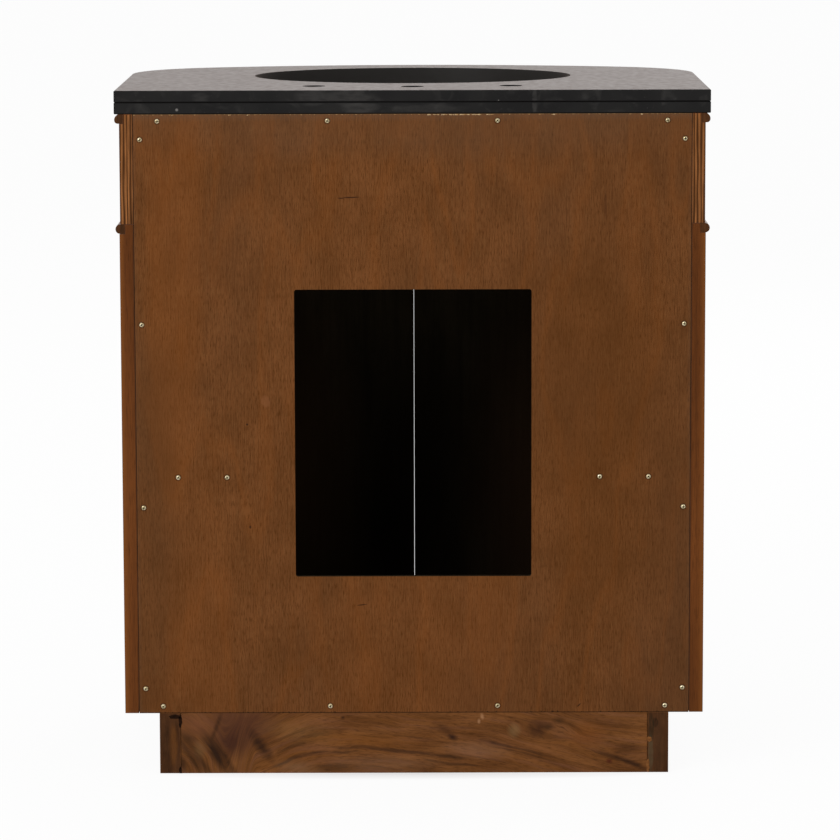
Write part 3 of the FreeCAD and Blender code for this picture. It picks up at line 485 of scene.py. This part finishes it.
def plinthEnds():
    material, tree, shader = startMaterial("figured hardwood, sawn ends", {"Specular IOR Level": 0.05})
    color, fibre = woodLayers(tree, grainPlace(tree, "z"), endLook)
    for middle, reach, share, paint in endLook["ends"]:
        color = stain(tree, color, ragged(tree, spot(tree, middle, reach), fibre), share, paint)
    finishWood(tree, shader, color, fibre, endLook)
    return material


# Softwood rails and battens, sawn and washed with the same stain: browner and rougher than planed boards.
softwoodLook = {
    "name": "softwood, sawn and washed", "shine": 0.10,
    "light": "#5d3d26", "dark": "#4a2f1c", "line": "#38210f", "pore": "#2a190d",
    "cloudSize": (300, 40), "cloudDetail": 3.0, "lineSize": (400, 5), "lineWarp": 0.4, "poreSize": (18, 1.4),
    "lineDepth": 0.5, "poreDepth": 0.4, "rough": 0.75, "relief": 0.12,
}


# Honed black stone: nearly black and silky, with dusty smears; pale only when seen along its face.
stoneLook = {
    "body": "#0a0909", "cloud": "#161514", "dust": "#3a3836", "fleck": "#6b6864", "joint": "#040404",
    "cloudSize": (70, 70), "cloudCut": (0.40, 0.66), "sheenTint": "#ffd8c6",
    "dustSize": (26, 26), "dustCut": (0.56, 0.80), "dustShare": 0.45, "dustWarp": 1.2,
    "fleckSize": (2.2, 2.2), "fleckCut": (0.70, 0.80), "fleckShare": 0.3, "bump": 0.25, "relief": 0.05,
    "wipeSize": (16, 4), "rubSize": (9, 15), "rubCut": (0.30, 0.70), "rough": (0.30, 0.40),
    "jointLine": (0.0010, 0.0018),  # black up to the first distance from a joint, gone at the second: painted shadow, with glue at the slab joint
    "sawn": "#2b2927", "bowlCentre": (0.0, -0.316), "wallFade": 0.002,
    "bowlReach": (0.2131, 0.1740, 50.0),  # a little over the opening's, and far past it up and down
    # middle, half size and share of each smear, and middle and half size of each nick
    "smears": (((0.128, 0.881), (0.026, 0.014), 0.45), ((0.066, 0.867), (0.030, 0.010), 0.45),
               ((0.080, 0.880), (0.040, 0.012), 0.40), ((-0.156, 0.876), (0.004, 0.022), 0.50),
               ((-0.020, 0.866), (0.060, 0.007), 0.30), ((0.270, 0.880), (0.014, 0.008), 0.30)),
    "nicks": (((0.3005, 0.8645), (0.0022, 0.0022)), ((-0.110, 0.8755), (0.0011, 0.0011))),
}


def honedStone():
    material, tree, shader = startMaterial("black stone, honed", {
        "Specular IOR Level": 0.15, "Sheen Weight": 0.14, "Sheen Roughness": 0.4,
        "Sheen Tint": linear(stoneLook["sheenTint"]),
    })
    place = addNode(tree, "TexCoord").outputs["Object"]
    cloud = streaks(tree, place, stoneLook["cloudSize"], 4.0)
    dust = streaks(tree, place, stoneLook["dustSize"], 3.0, stoneLook["dustWarp"])
    fleck = streaks(tree, place, stoneLook["fleckSize"], 1.0)
    tone = addNode(tree, "MapRange", [cloud, *stoneLook["cloudCut"], 0.0, 1.0])
    color = addNode(tree, "MixRGB", [tone, linear(stoneLook["body"]), linear(stoneLook["cloud"])])
    for part, noise in (("dust", dust), ("fleck", fleck)):
        mask = addNode(tree, "MapRange", [noise, *stoneLook[f"{part}Cut"], 0.0, 1.0])
        color = stain(tree, color, mask, stoneLook[f"{part}Share"], stoneLook[part])
    wiped = streaks(tree, grainPlace(tree, "x"), stoneLook["wipeSize"], 4.0)
    for middle, reach, share in stoneLook["smears"]:
        color = stain(tree, color, ragged(tree, spot(tree, middle, reach), wiped), share, stoneLook["dust"])
    for middle, reach in stoneLook["nicks"]:
        color = stain(tree, color, spot(tree, middle, reach), 1.0, stoneLook["fleck"])
    level = addNode(tree, "SeparateXYZ", [place]).outputs["Z"]
    for joint in (chest["slabJoint"], chest["caseTop"]):  # painted shadow in black lines: in the groove where the layers meet, where glue shows too, and under the stone's bottom edge
        away = addNode(tree, "Math", [level, joint], operation="SUBTRACT")
        away = addNode(tree, "Math", [away], operation="ABSOLUTE")
        line = addNode(tree, "MapRange", [away, *stoneLook["jointLine"], 1.0, 0.0])
        color = stain(tree, color, line, 1.0, stoneLook["joint"])
    opening = addNode(tree, "Mapping", {
        "Vector": place, "Location": (*stoneLook["bowlCentre"], chest["slabJoint"]),
        "Scale": stoneLook["bowlReach"],
    }, vector_type="TEXTURE")
    within = addNode(tree, "TexGradient", [opening], gradient_type="SPHERICAL")
    wall = addNode(tree, "MapRange", [within, 0.0, stoneLook["wallFade"], 0.0, 1.0])  # the sawn wall
    color = stain(tree, color, wall, 1.0, stoneLook["sawn"])
    rubbed = streaks(tree, grainPlace(tree, "x"), stoneLook["rubSize"], 4.0)
    rough = addNode(tree, "MapRange", [rubbed, *stoneLook["rubCut"], *stoneLook["rough"]])
    finishSurface(tree, shader, color, fleck, stoneLook["bump"], stoneLook["relief"], rough)
    return material


# Metals: each is one colour with tarnish in soft patches, sized in mm, and fine rub marks in its gloss.
# The rub marks are drawn 0.6 mm wide, far over their real width, so that they show.
metalLooks = {
    "brass, antiqued": {"bright": "#a8854a", "dull": "#6d5128", "patch": 9, "rough": 0.34},
    "steel, yellow zinc plated": {"bright": "#e6dab8", "dull": "#a8966b", "patch": 2.5, "rough": 0.30},
    "steel, bright plated": {"bright": "#b9bbbd", "dull": "#85878a", "patch": 6, "rough": 0.30},
    "steel, black oxide": {"bright": "#2b2722", "dull": "#16130f", "patch": 3, "rough": 0.5},
}
metalWear = {"tarnishCut": (0.40, 0.66), "rubSize": (6, 0.6), "rubCut": (0.3, 0.7), "smoother": 0.08,
             "rougher": 0.14, "bump": 0.15, "relief": 0.02}


def metal(name):
    look = metalLooks[name]
    material, tree, shader = startMaterial(name, {"Metallic": 1.0})
    place = addNode(tree, "TexCoord").outputs["Object"]
    patch = streaks(tree, place, (look["patch"], look["patch"]), 3.0)
    rub = streaks(tree, place, metalWear["rubSize"], 2.0)
    tarnish = addNode(tree, "MapRange", [patch, *metalWear["tarnishCut"], 0.0, 1.0])
    color = addNode(tree, "MixRGB", [tarnish, linear(look["bright"]), linear(look["dull"])])
    bright, dull = look["rough"] - metalWear["smoother"], look["rough"] + metalWear["rougher"]
    rough = addNode(tree, "MapRange", [rub, *metalWear["rubCut"], bright, dull])
    finishSurface(tree, shader, color, rub, metalWear["bump"], metalWear["relief"], rough)
    return material


# Moulded brown polypropylene: dull, with a spark-eroded grain drawn at 0.8 mm, coarse enough to show.
plasticLook = {"deep": "#3c2416", "high": "#4b2f1e", "cloudSize": (12, 12), "grainSize": (0.8, 0.8),
               "grainCut": (0.3, 0.7), "rough": (0.48, 0.62), "bump": 0.3, "relief": 0.05}


def mouldedPlastic():
    material, tree, shader = startMaterial("polypropylene, moulded", {"Specular IOR Level": 0.35})
    place = addNode(tree, "TexCoord").outputs["Object"]
    grain = streaks(tree, place, plasticLook["grainSize"], 1.0)
    cloud = streaks(tree, place, plasticLook["cloudSize"], 2.0)
    color = addNode(tree, "MixRGB", [cloud, linear(plasticLook["deep"]), linear(plasticLook["high"])])
    rough = addNode(tree, "MapRange", [grain, *plasticLook["grainCut"], *plasticLook["rough"]])
    finishSurface(tree, shader, color, grain, plasticLook["bump"], plasticLook["relief"], rough)
    return material


# Knifed-on filler, torn veneer, and painted shade with grime for screw recesses: dull, lumpy, mixed from a
# deep and a high tone.
pasteTones = {
    "old wax, packed in recesses": ("#0d0906", "#1d140c"), "veneer, torn": ("#9a7449", "#cfb48d"),
    "wood filler, dark": ("#150b05", "#26140a"), "wood filler, pale": ("#6a4122", "#85562e"),
}
pasteLook = {"rough": 0.8, "lumpSize": (5, 3), "lumpCut": (0.35, 0.65), "bump": 0.6, "relief": 0.15}


def dullPaste(name):
    material, tree, shader = startMaterial(name, {"Specular IOR Level": 0.04,
                                                  "Roughness": pasteLook["rough"]})
    place = addNode(tree, "TexCoord").outputs["Object"]
    lump = streaks(tree, place, pasteLook["lumpSize"], 3.0)
    tone = addNode(tree, "MapRange", [lump, *pasteLook["lumpCut"], 0.0, 1.0])
    deep, high = pasteTones[name]
    color = addNode(tree, "MixRGB", [tone, linear(deep), linear(high)])
    finishSurface(tree, shader, color, lump, pasteLook["bump"], pasteLook["relief"])
    return material


uprightWood = plainWood(hardwoodLook, "z")
bentWood = plainWood(hardwoodLook, "round")
plinthRound = figuredPlinth("round")
stone = honedStone()
washAndShadeUp = plainWood(washAndShadeLook, "z")
washAndShadeRound = plainWood(washAndShadeLook, "round")
softwoodAcross = plainWood(softwoodLook, "x")
softwoodUp = plainWood(softwoodLook, "z")
softwoodDeep = plainWood(softwoodLook, "y")
brass = metal("brass, antiqued")
zincPlate = metal("steel, yellow zinc plated")
brightSteel = metal("steel, bright plated")
blackSteel = metal("steel, black oxide")
recessShadeAndGrime = dullPaste("old wax, packed in recesses")
finishes = {
    "back_panel": stainedPanel(), "side_panel": uprightWood, "corner_stile": uprightWood,
    "door": uprightWood, "sill_rail": bentWood, "head_rail": bentWood,
    "bottom_panel": plainWood(washAndShadeLook, "x"), "shelf": plainWood(washAndShadeLook, "y"),
    "upper_bead": bentWood, "lower_bead": bentWood, "frieze_front": bentWood, "frieze_side": bentWood,
    "plinth_back": figuredPlinth("x"), "plinth_front": plinthRound, "plinth_side": plinthRound,
    "plinth_blocks": softwoodUp, "back_batten": softwoodUp, "top_rear_rail": softwoodAcross,
    "front_gusset": softwoodAcross, "top_side_rail": softwoodDeep, "shelf_cleat": softwoodDeep,
    "top_slab": stone, "lower_slab": stone,
    "hinge_door_leaves": brass, "hinge_jamb_leaves": brass, "hinge_pins": brass, "knob": brass,
    "hinge_door_screws": brass, "hinge_jamb_screws": brass, "knob_bolt": blackSteel,
    "back_panel_screws": zincPlate, "cleat_screws": zincPlate, "plinth_screws": zincPlate,
    "catch_screws": zincPlate, "strike_screw": brightSteel, "strike_plate": brightSteel,
    "catch_magnets": brightSteel, "catch_body": mouldedPlastic(),
}
# Faces that differ from a board's outside: those that look into the case, nearly black with painted shade,
# and sawn ends at the wall
insideFinishes = {
    "back_panel": washAndShadeUp, "side_panel": washAndShadeUp, "corner_stile": washAndShadeUp, "frieze_front": washAndShadeRound,
    "frieze_side": washAndShadeRound, "head_rail": washAndShadeRound, "sill_rail": washAndShadeRound,
    "door": plainWood(washAndShadeLook, "z", washAndShadeLook["patches"]),
}
endGrain = plinthEnds()
endFinishes = {
    "side_panel": sawnEdge(), "frieze_side": plyEnds(), "plinth_side": endGrain, "upper_bead": endGrain,
    "lower_bead": endGrain,
}
crispAngle = 35  # degrees: edges that turn more than this stay crisp


def baseName(node):
    return node.removesuffix("_left").removesuffix("_right")


finishOf = {name: finishes[baseName(name)] for name in nodes}
for name, node in nodes.items():
    node.material_slots[0].material = finishOf[name]
print("finishes:", len(bpy.data.materials))


def addPiece(name, work, materials, standsFor):  # a new piece from a bmesh, riding where its CAD node rides
    mesh = bpy.data.meshes.new(name)
    work.to_mesh(mesh)
    work.free()
    for material in materials:
        mesh.materials.append(material)
    mesh.shade_smooth()
    mesh.set_sharp_from_angle(angle=math.radians(crispAngle))
    piece = bpy.data.objects.new(name, mesh)
    bpy.context.scene.collection.objects.link(piece)
    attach(piece, bodyOf[standsFor])
    return piece


def spinProfile(profile, steps):  # a closed turned form about z from radius and height pairs in millimetres
    work = bmesh.new()
    points = [work.verts.new((radius * mm, 0, height * mm)) for radius, height in profile]
    rim = [work.edges.new(pair) for pair in zip(points, points[1:])]
    bmesh.ops.spin(work, geom=points + rim, cent=(0, 0, 0), axis=(0, 0, 1), dvec=(0, 0, 0),
                   angle=2 * math.pi, steps=steps, use_merge=True)
    bmesh.ops.remove_doubles(work, verts=work.verts, dist=sameSpot)
    bmesh.ops.recalc_face_normals(work, faces=work.faces)
    return work


# Screws with a cross recess, in mm: the profile runs from crown to tip, and the head bears at height 0
screwShapes = {
    "domed": {"profile": ((0, 1.8), (0.6, 1.77), (1.2, 1.66), (1.8, 1.46), (2.3, 1.2), (2.75, 0.8),
                          (3.05, 0.36), (3.2, 0.0), (1.5, 0.0), (1.5, -20), (0.0, -25)),
              "armHalf": 0.5, "armReach": 2.0, "recess": 1.0},
    "flat": {"profile": ((0, 0), (0.9, 0), (1.8, 0), (2.5, 0), (1.3, -1.25), (1.3, -12), (0.0, -14)),
             "armHalf": 0.4, "armReach": 1.6, "recess": 0.8},
    "bolt": {"profile": ((0, 2.4), (1.0, 2.34), (2.0, 2.1), (2.9, 1.6), (3.6, 0.9), (4.0, 0.0),
                         (2.0, 0.0), (2.0, -30), (0.0, -30)),
             "armHalf": 0.6, "armReach": 2.4, "recess": 1.2},
}
screwCut = {"steps": 20, "upward": 0.3, "taper": 0.04}  # faces past upward are the head's, taper in mm


def makeScrew(kind):
    shape = screwShapes[kind]
    work = spinProfile(shape["profile"], screwCut["steps"])
    arm, reach = shape["armHalf"] * mm, shape["armReach"] * mm
    for axis in (Vector((1, 0, 0)), Vector((0, 1, 0))):
        for away in (-reach, -arm, arm, reach):
            head = {face for face in work.faces if face.normal.z > screwCut["upward"]}
            rims = {edge for face in head for edge in face.edges}
            corners = {vert for face in head for vert in face.verts}
            bmesh.ops.bisect_plane(work, geom=[*head, *rims, *corners], dist=1e-7, plane_co=axis * away,
                                   plane_no=axis)
    cross = []
    for face in work.faces:
        middle = face.calc_center_median()
        x, y = abs(middle.x), abs(middle.y)
        if face.normal.z > screwCut["upward"] and min(x, y) < arm and max(x, y) < reach:
            cross.append(face)
    walls = bmesh.ops.inset_region(work, faces=cross, thickness=screwCut["taper"] * mm,
                                   use_even_offset=True)["faces"]
    bmesh.ops.translate(work, verts=list({v for face in cross for v in face.verts}),
                        vec=(0, 0, -shape["recess"] * mm))
    for face in cross + walls:  # the second material fills the recess with painted shade and grime
        face.material_index = 1
    mesh = bpy.data.meshes.new("screw")
    work.to_mesh(mesh)
    work.free()
    return mesh


screwMeshes = {kind: makeScrew(kind) for kind in screwShapes}


def plantScrews(pieceName, kind, seats, node):  # seats are pairs of where a head bears and where it faces
    whole = bmesh.new()
    for seat, way in seats:
        turned = way.to_track_quat("Z", "Y") @ Quaternion((0, 0, 1), random.uniform(0, math.pi))
        before = len(whole.verts)
        whole.from_mesh(screwMeshes[kind])
        whole.verts.ensure_lookup_table()
        bmesh.ops.transform(whole, matrix=Matrix.Translation(seat) @ turned.to_matrix().to_4x4(),
                            verts=whole.verts[before:])
    piece = addPiece(pieceName, whole, [finishOf[node], recessShadeAndGrime], node)
    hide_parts(node)


def seatsOf(node, kind, way):  # where the screws of a node sit, their heads facing one way
    way = Vector(way).normalized()
    proud = screwShapes[kind]["profile"][0][1] * mm
    seats = []
    for low, high in solidBoxes(node):
        half = (high - low).dot(Vector(map(abs, way))) / 2
        seats.append(((low + high) / 2 + way * (half - proud), way))
    return seats


strikeOffset = 0.015  # metres from the middle of the doors to each strike plate
strikeLean = strikeOffset / chest["innerRadius"]
plantScrews("panelScrews", "domed", seatsOf("back_panel_screws", "domed", (0, 1, 0)), "back_panel_screws")
plantScrews("plinthScrews", "domed", seatsOf("plinth_screws", "domed", (0, 0, 1)), "plinth_screws")
plantScrews("catchScrews", "domed", seatsOf("catch_screws", "domed", (0, 0, -1)), "catch_screws")
for side, inward in (("left", 1), ("right", -1)):
    for node, label, kind, way in (
        ("cleat_screws", "cleatScrews", "domed", (inward, 0, 0)),
        ("hinge_jamb_screws", "jambHingeScrews", "flat", (inward, 0, 0)),
        ("hinge_door_screws", "doorHingeScrews", "flat", (-inward, 0, 0)),
        ("strike_screw", "strikeScrew", "flat", (inward * strikeLean, 1, 0)),
    ):
        plantScrews(f"{label}_{side}", kind, seatsOf(f"{node}_{side}", kind, way), f"{node}_{side}")
print("screws planted")

# Turned brass knobs: the profile, in mm, runs from the door's face to the crown
knobShape = {
    "profile": ((0, 0), (8.5, 0), (8.5, 1.3), (7.7, 2.3), (6.0, 3.2), (5.3, 5.0), (5.1, 7.6), (5.6, 10.0),
                (7.4, 11.6), (10.6, 13.0), (12.9, 15.2), (13.9, 17.8), (13.9, 19.4), (13.2, 20.4),
                (12.5, 20.5), (12.1, 21.2), (11.2, 22.6), (8.6, 24.9), (5.0, 26.4), (0, 26.9)),
    "offset": 0.034, "level": 0.624, "steps": 40,  # metres from the middle and above the floor
}


def turnedKnob(side, sign):
    lean = math.asin(knobShape["offset"] / chest["faceRadius"])
    outward = Vector((sign * math.sin(lean), -math.cos(lean), 0))
    foot = Vector((0, chest["bowCentre"], knobShape["level"])) + outward * chest["faceRadius"]
    work = spinProfile(knobShape["profile"], knobShape["steps"])
    work.transform(Matrix.Translation(foot) @ outward.to_track_quat("Z", "Y").to_matrix().to_4x4())
    piece = addPiece(f"turnedKnob_{side}", work, [brass], f"knob_{side}")
    smooth = piece.modifiers.new("Subdivision", "SUBSURF")
    smooth.levels = smooth.render_levels = 1
    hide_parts(f"knob_{side}")
    inner = foot - outward * (chest["faceRadius"] - chest["innerRadius"])
    plantScrews(f"knobBolt_{side}", "bolt", [(inner, -outward)], f"knob_bolt_{side}")


turnedKnob("left", -1)
turnedKnob("right", 1)
print("knobs turned")

# Boards with their sawn edges eased by hand
easing = {
    "radius": 0.5, "sharp": 40, "shortest": 4.0,  # mm, degrees, mm: shorter edges belong to drilled holes
    "flat": 0.3, "segments": 2,  # degrees: facets that turn less than this are joined
    "weld": 0.1,  # mm: slivers shorter than this would hold the easing back
    "inward": 0.045, "backward": 0.95,  # faces past these look into the case and at the wall
    "boards": ("back_panel", "side_panel_left", "side_panel_right", "corner_stile_left", "corner_stile_right",
               "door_left", "door_right", "sill_rail", "head_rail", "frieze_front", "frieze_side_left",
               "frieze_side_right", "plinth_front", "plinth_side_left", "plinth_side_right", "plinth_back",
               "shelf_left", "shelf_right", "bottom_panel", "upper_bead", "lower_bead"),
    "moulded": ("upper_bead", "lower_bead"),  # round already, so that only their ends differ
}


def easeBoard(name):
    work = bmesh.new()
    work.from_mesh(nodes[name].data)
    bmesh.ops.remove_doubles(work, verts=work.verts, dist=easing["weld"] * mm)
    bmesh.ops.dissolve_limit(work, angle_limit=math.radians(easing["flat"]), verts=work.verts,
                             edges=work.edges)
    arrises = [
        edge for edge in work.edges
        if name not in easing["moulded"] and edge.is_manifold
        and edge.calc_length() > easing["shortest"] * mm
        and edge.calc_face_angle_signed() > math.radians(easing["sharp"])
    ]
    bmesh.ops.bevel(work, geom=arrises, offset=easing["radius"] * mm, offset_type="OFFSET", affect="EDGES",
                    segments=easing["segments"], profile=0.5, clamp_overlap=True, material=-1)
    materials = [finishOf[name]]
    middle = Vector(chest["middle"])
    for finishSet, wanted in (
        (insideFinishes, lambda face: face.normal.dot(middle - face.calc_center_median()) > easing["inward"]),
        (endFinishes, lambda face: face.normal.y > easing["backward"]),
    ):
        if baseName(name) in finishSet:
            for face in filter(wanted, work.faces):
                face.material_index = len(materials)
            materials.append(finishSet[baseName(name)])
    words = name.split("_")
    title = words[0] + "".join(word.capitalize() for word in words[1:]) + "Eased"
    piece = addPiece(title, work, materials, name)
    piece.modifiers.new("WeightedNormal", "WEIGHTED_NORMAL").keep_sharp = True
    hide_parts(name)


for name in easing["boards"]:
    easeBoard(name)
print("boards eased:", len(easing["boards"]))

# Torn bits of veneer along the panel's top edge, thickest in one stretch: places in metres, sizes in mm
splinters = {"count": 46, "stretch": (-0.104, -0.018), "stretchShare": 0.86, "reach": 0.345,
             "long": (0.8, 3.0), "high": (0.4, 1.4), "thick": (0.15, 0.5), "drop": 1.2,
             "skew": (-0.3, 0.3), "chop": (-0.3, 0.1)}  # shares of a bit's size by which its corners stray


def tornSplinters():
    whole = bmesh.new()
    for _ in range(splinters["count"]):
        if random.random() < splinters["stretchShare"]:
            middle = random.uniform(*splinters["stretch"])
        else:
            middle = random.uniform(-1, 1) * splinters["reach"]
        size = [random.uniform(*splinters[part]) * mm for part in ("long", "thick", "high")]
        bit = bmesh.ops.create_cube(whole, size=1.0)["verts"]
        bmesh.ops.scale(whole, verts=bit, vec=size)
        for vert in bit:
            vert.co.x += random.uniform(*splinters["skew"]) * size[0]
            vert.co.z += random.uniform(*splinters["chop"]) * size[2]
        level = chest["caseTop"] - splinters["drop"] * mm
        bmesh.ops.translate(whole, verts=bit, vec=(middle, size[1] / 2, level))
    bmesh.ops.recalc_face_normals(whole, faces=whole.faces)
    addPiece("panelSplinters", whole, [dullPaste("veneer, torn")], "back_panel")


tornSplinters()

# Filler smeared over the two joints of the plinth: middle, half width and half height on the back face
fillerDark = dullPaste("wood filler, dark")
fillerPale = dullPaste("wood filler, pale")
fillers = (
    ("fillerRightLump", (-0.3062, 0.0440), (0.0040, 0.0042), fillerPale),
    ("fillerRightFoot", (-0.3045, 0.0080), (0.0024, 0.0120), fillerPale),
    ("fillerLeft", (0.3105, 0.0752), (0.0095, 0.0034), fillerDark),
    ("fillerLeftDrip", (0.3040, 0.0690), (0.0026, 0.0095), fillerDark),
    ("fillerLeftFoot", (0.3045, 0.0030), (0.0022, 0.0070), fillerDark),
)
smear = {"segments": 18, "ragged": (0.7, 1.0), "rim": 0.25, "proud": 0.2}  # proud in mm


def smearFiller(name, middle, reach, material):
    work = bmesh.new()
    bmesh.ops.create_circle(work, cap_ends=True, segments=smear["segments"], radius=1.0)
    for vert in work.verts:
        vert.co *= random.uniform(*smear["ragged"])
    bmesh.ops.inset_region(work, faces=work.faces[:], thickness=smear["rim"], depth=0.0,
                           use_even_offset=False)
    bmesh.ops.scale(work, verts=work.verts, vec=(reach[0], reach[1], 1.0))
    bmesh.ops.rotate(work, verts=work.verts, cent=(0, 0, 0), matrix=Matrix.Rotation(math.pi / 2, 3, "X"))
    raised = bmesh.ops.extrude_face_region(work, geom=work.faces[:], use_keep_orig=True)["geom"]
    bmesh.ops.translate(work, verts=[part for part in raised if isinstance(part, bmesh.types.BMVert)],
                        vec=(0, smear["proud"] * mm, 0))
    bmesh.ops.translate(work, verts=work.verts, vec=(middle[0], 0.0, middle[1]))
    for vert in work.verts:  # wiped off along the floor
        vert.co.z = max(vert.co.z, 0.0)
    bmesh.ops.recalc_face_normals(work, faces=work.faces)
    addPiece(name, work, [material], "plinth_back")


for filler in fillers:
    smearFiller(*filler)
print("splinters and filler added")

# Pale studio floor, white to the camera and in reflections, with a share of real shadow left in it
studio = {
    "floorReach": 90.0, "floorDrop": 0.2,  # metres, and mm below the chest's foot
    "floorWhite": 0.94, "floorColor": "#f6f6f6", "ambient": 0.66,
    "contact": (0.345, 0.042, 1.0), "contactWhite": 0.50,  # painted shade close to the plinth's back: less of the floor's white there, which also lets more real shadow show
    "contactFull": 0.9, "white": "#ffffff",
    "keyPlace": (2.1, 3.0, 2.3), "keyPower": 62.0, "keySize": 2.6,
    "fillPlace": (-2.4, -4.2, 3.2), "fillPower": 60.0, "fillSize": 3.5,
    "target": (0.0, -0.25, 0.45),
}


def seenRays(tree):  # 1 for camera, glossy and transmission rays
    rays = addNode(tree, "LightPath").outputs
    bright = addNode(tree, "Math", [rays["Is Glossy Ray"], rays["Is Transmission Ray"]],
                     operation="MAXIMUM")
    return addNode(tree, "Math", [rays["Is Camera Ray"], bright], operation="MAXIMUM")


world = bpy.data.worlds.new("studio")
bpy.context.scene.world = world
world.use_nodes = True
tree = world.node_tree
strength = addNode(tree, "MapRange", [seenRays(tree), 0.0, 1.0, studio["ambient"], 1.0])
addNode(tree, "", {"Color": linear(studio["white"]), "Strength": strength}, tree.nodes["Background"])

floorPaint = bpy.data.materials.new("studio floor, matt paint")
floorPaint.use_nodes = True
tree = floorPaint.node_tree
tree.nodes.remove(tree.nodes["Principled BSDF"])
matt = addNode(tree, "BsdfDiffuse", {"Color": linear(studio["floorColor"])})
glow = addNode(tree, "Emission", {"Color": linear(studio["white"]), "Strength": 1.0})
near = addNode(tree, "Mapping", {"Vector": addNode(tree, "TexCoord").outputs["Object"],
                                 "Scale": studio["contact"]}, vector_type="TEXTURE")
near = addNode(tree, "TexGradient", [near], gradient_type="SPHERICAL")
white = addNode(tree, "MapRange", [near, 0.0, studio["contactFull"], studio["floorWhite"],
                                   studio["contactWhite"]])
share = addNode(tree, "Math", [seenRays(tree), white], operation="MULTIPLY")
floorMix = addNode(tree, "MixShader", [share, matt, glow])
addNode(tree, "", {"Surface": floorMix}, tree.nodes["Material Output"])
work = bmesh.new()
bmesh.ops.create_grid(work, x_segments=1, y_segments=1, size=studio["floorReach"])
bmesh.ops.translate(work, verts=work.verts, vec=(0, 0, -studio["floorDrop"] * mm))
floorMesh = bpy.data.meshes.new("studioFloor")
work.to_mesh(floorMesh)
work.free()
floorMesh.materials.append(floorPaint)
floor = bpy.data.objects.new("studioFloor", floorMesh)
bpy.context.scene.collection.objects.link(floor)

for lampName in ("key", "fill"):
    lamp = bpy.data.lights.new(f"{lampName}Lamp", "AREA")
    lamp.shape = "DISK"
    lamp.size = studio[f"{lampName}Size"]
    lamp.energy = studio[f"{lampName}Power"]
    holder = bpy.data.objects.new(f"{lampName}Lamp", lamp)
    holder.location = studio[f"{lampName}Place"]
    aim = Vector(studio["target"]) - holder.location
    holder.rotation_euler = aim.to_track_quat("-Z", "Y").to_euler()
    bpy.context.scene.collection.objects.link(holder)

# Camera behind the chest, a long lens a little above the top
view = {"place": (-0.0146, 5.5, 1.2379), "aim": (-0.0088, 0.0, 0.4643), "roll": -0.00267, "lens": 184.74,
        "sensor": 36.0, "farthest": 400.0}
camera = bpy.data.cameras.new("backView")
camera.sensor_width = view["sensor"]
camera.lens = view["lens"]
camera.clip_end = view["farthest"]
cameraHolder = bpy.data.objects.new("backView", camera)
cameraHolder.location = view["place"]
sight = (Vector(view["aim"]) - Vector(view["place"])).to_track_quat("-Z", "Y")
cameraHolder.rotation_euler = (sight @ Quaternion((0, 0, 1), view["roll"])).to_euler()
bpy.context.scene.collection.objects.link(cameraHolder)
bpy.context.scene.camera = cameraHolder
bpy.context.scene.view_settings.view_transform = "Standard"
print("studio and camera ready")
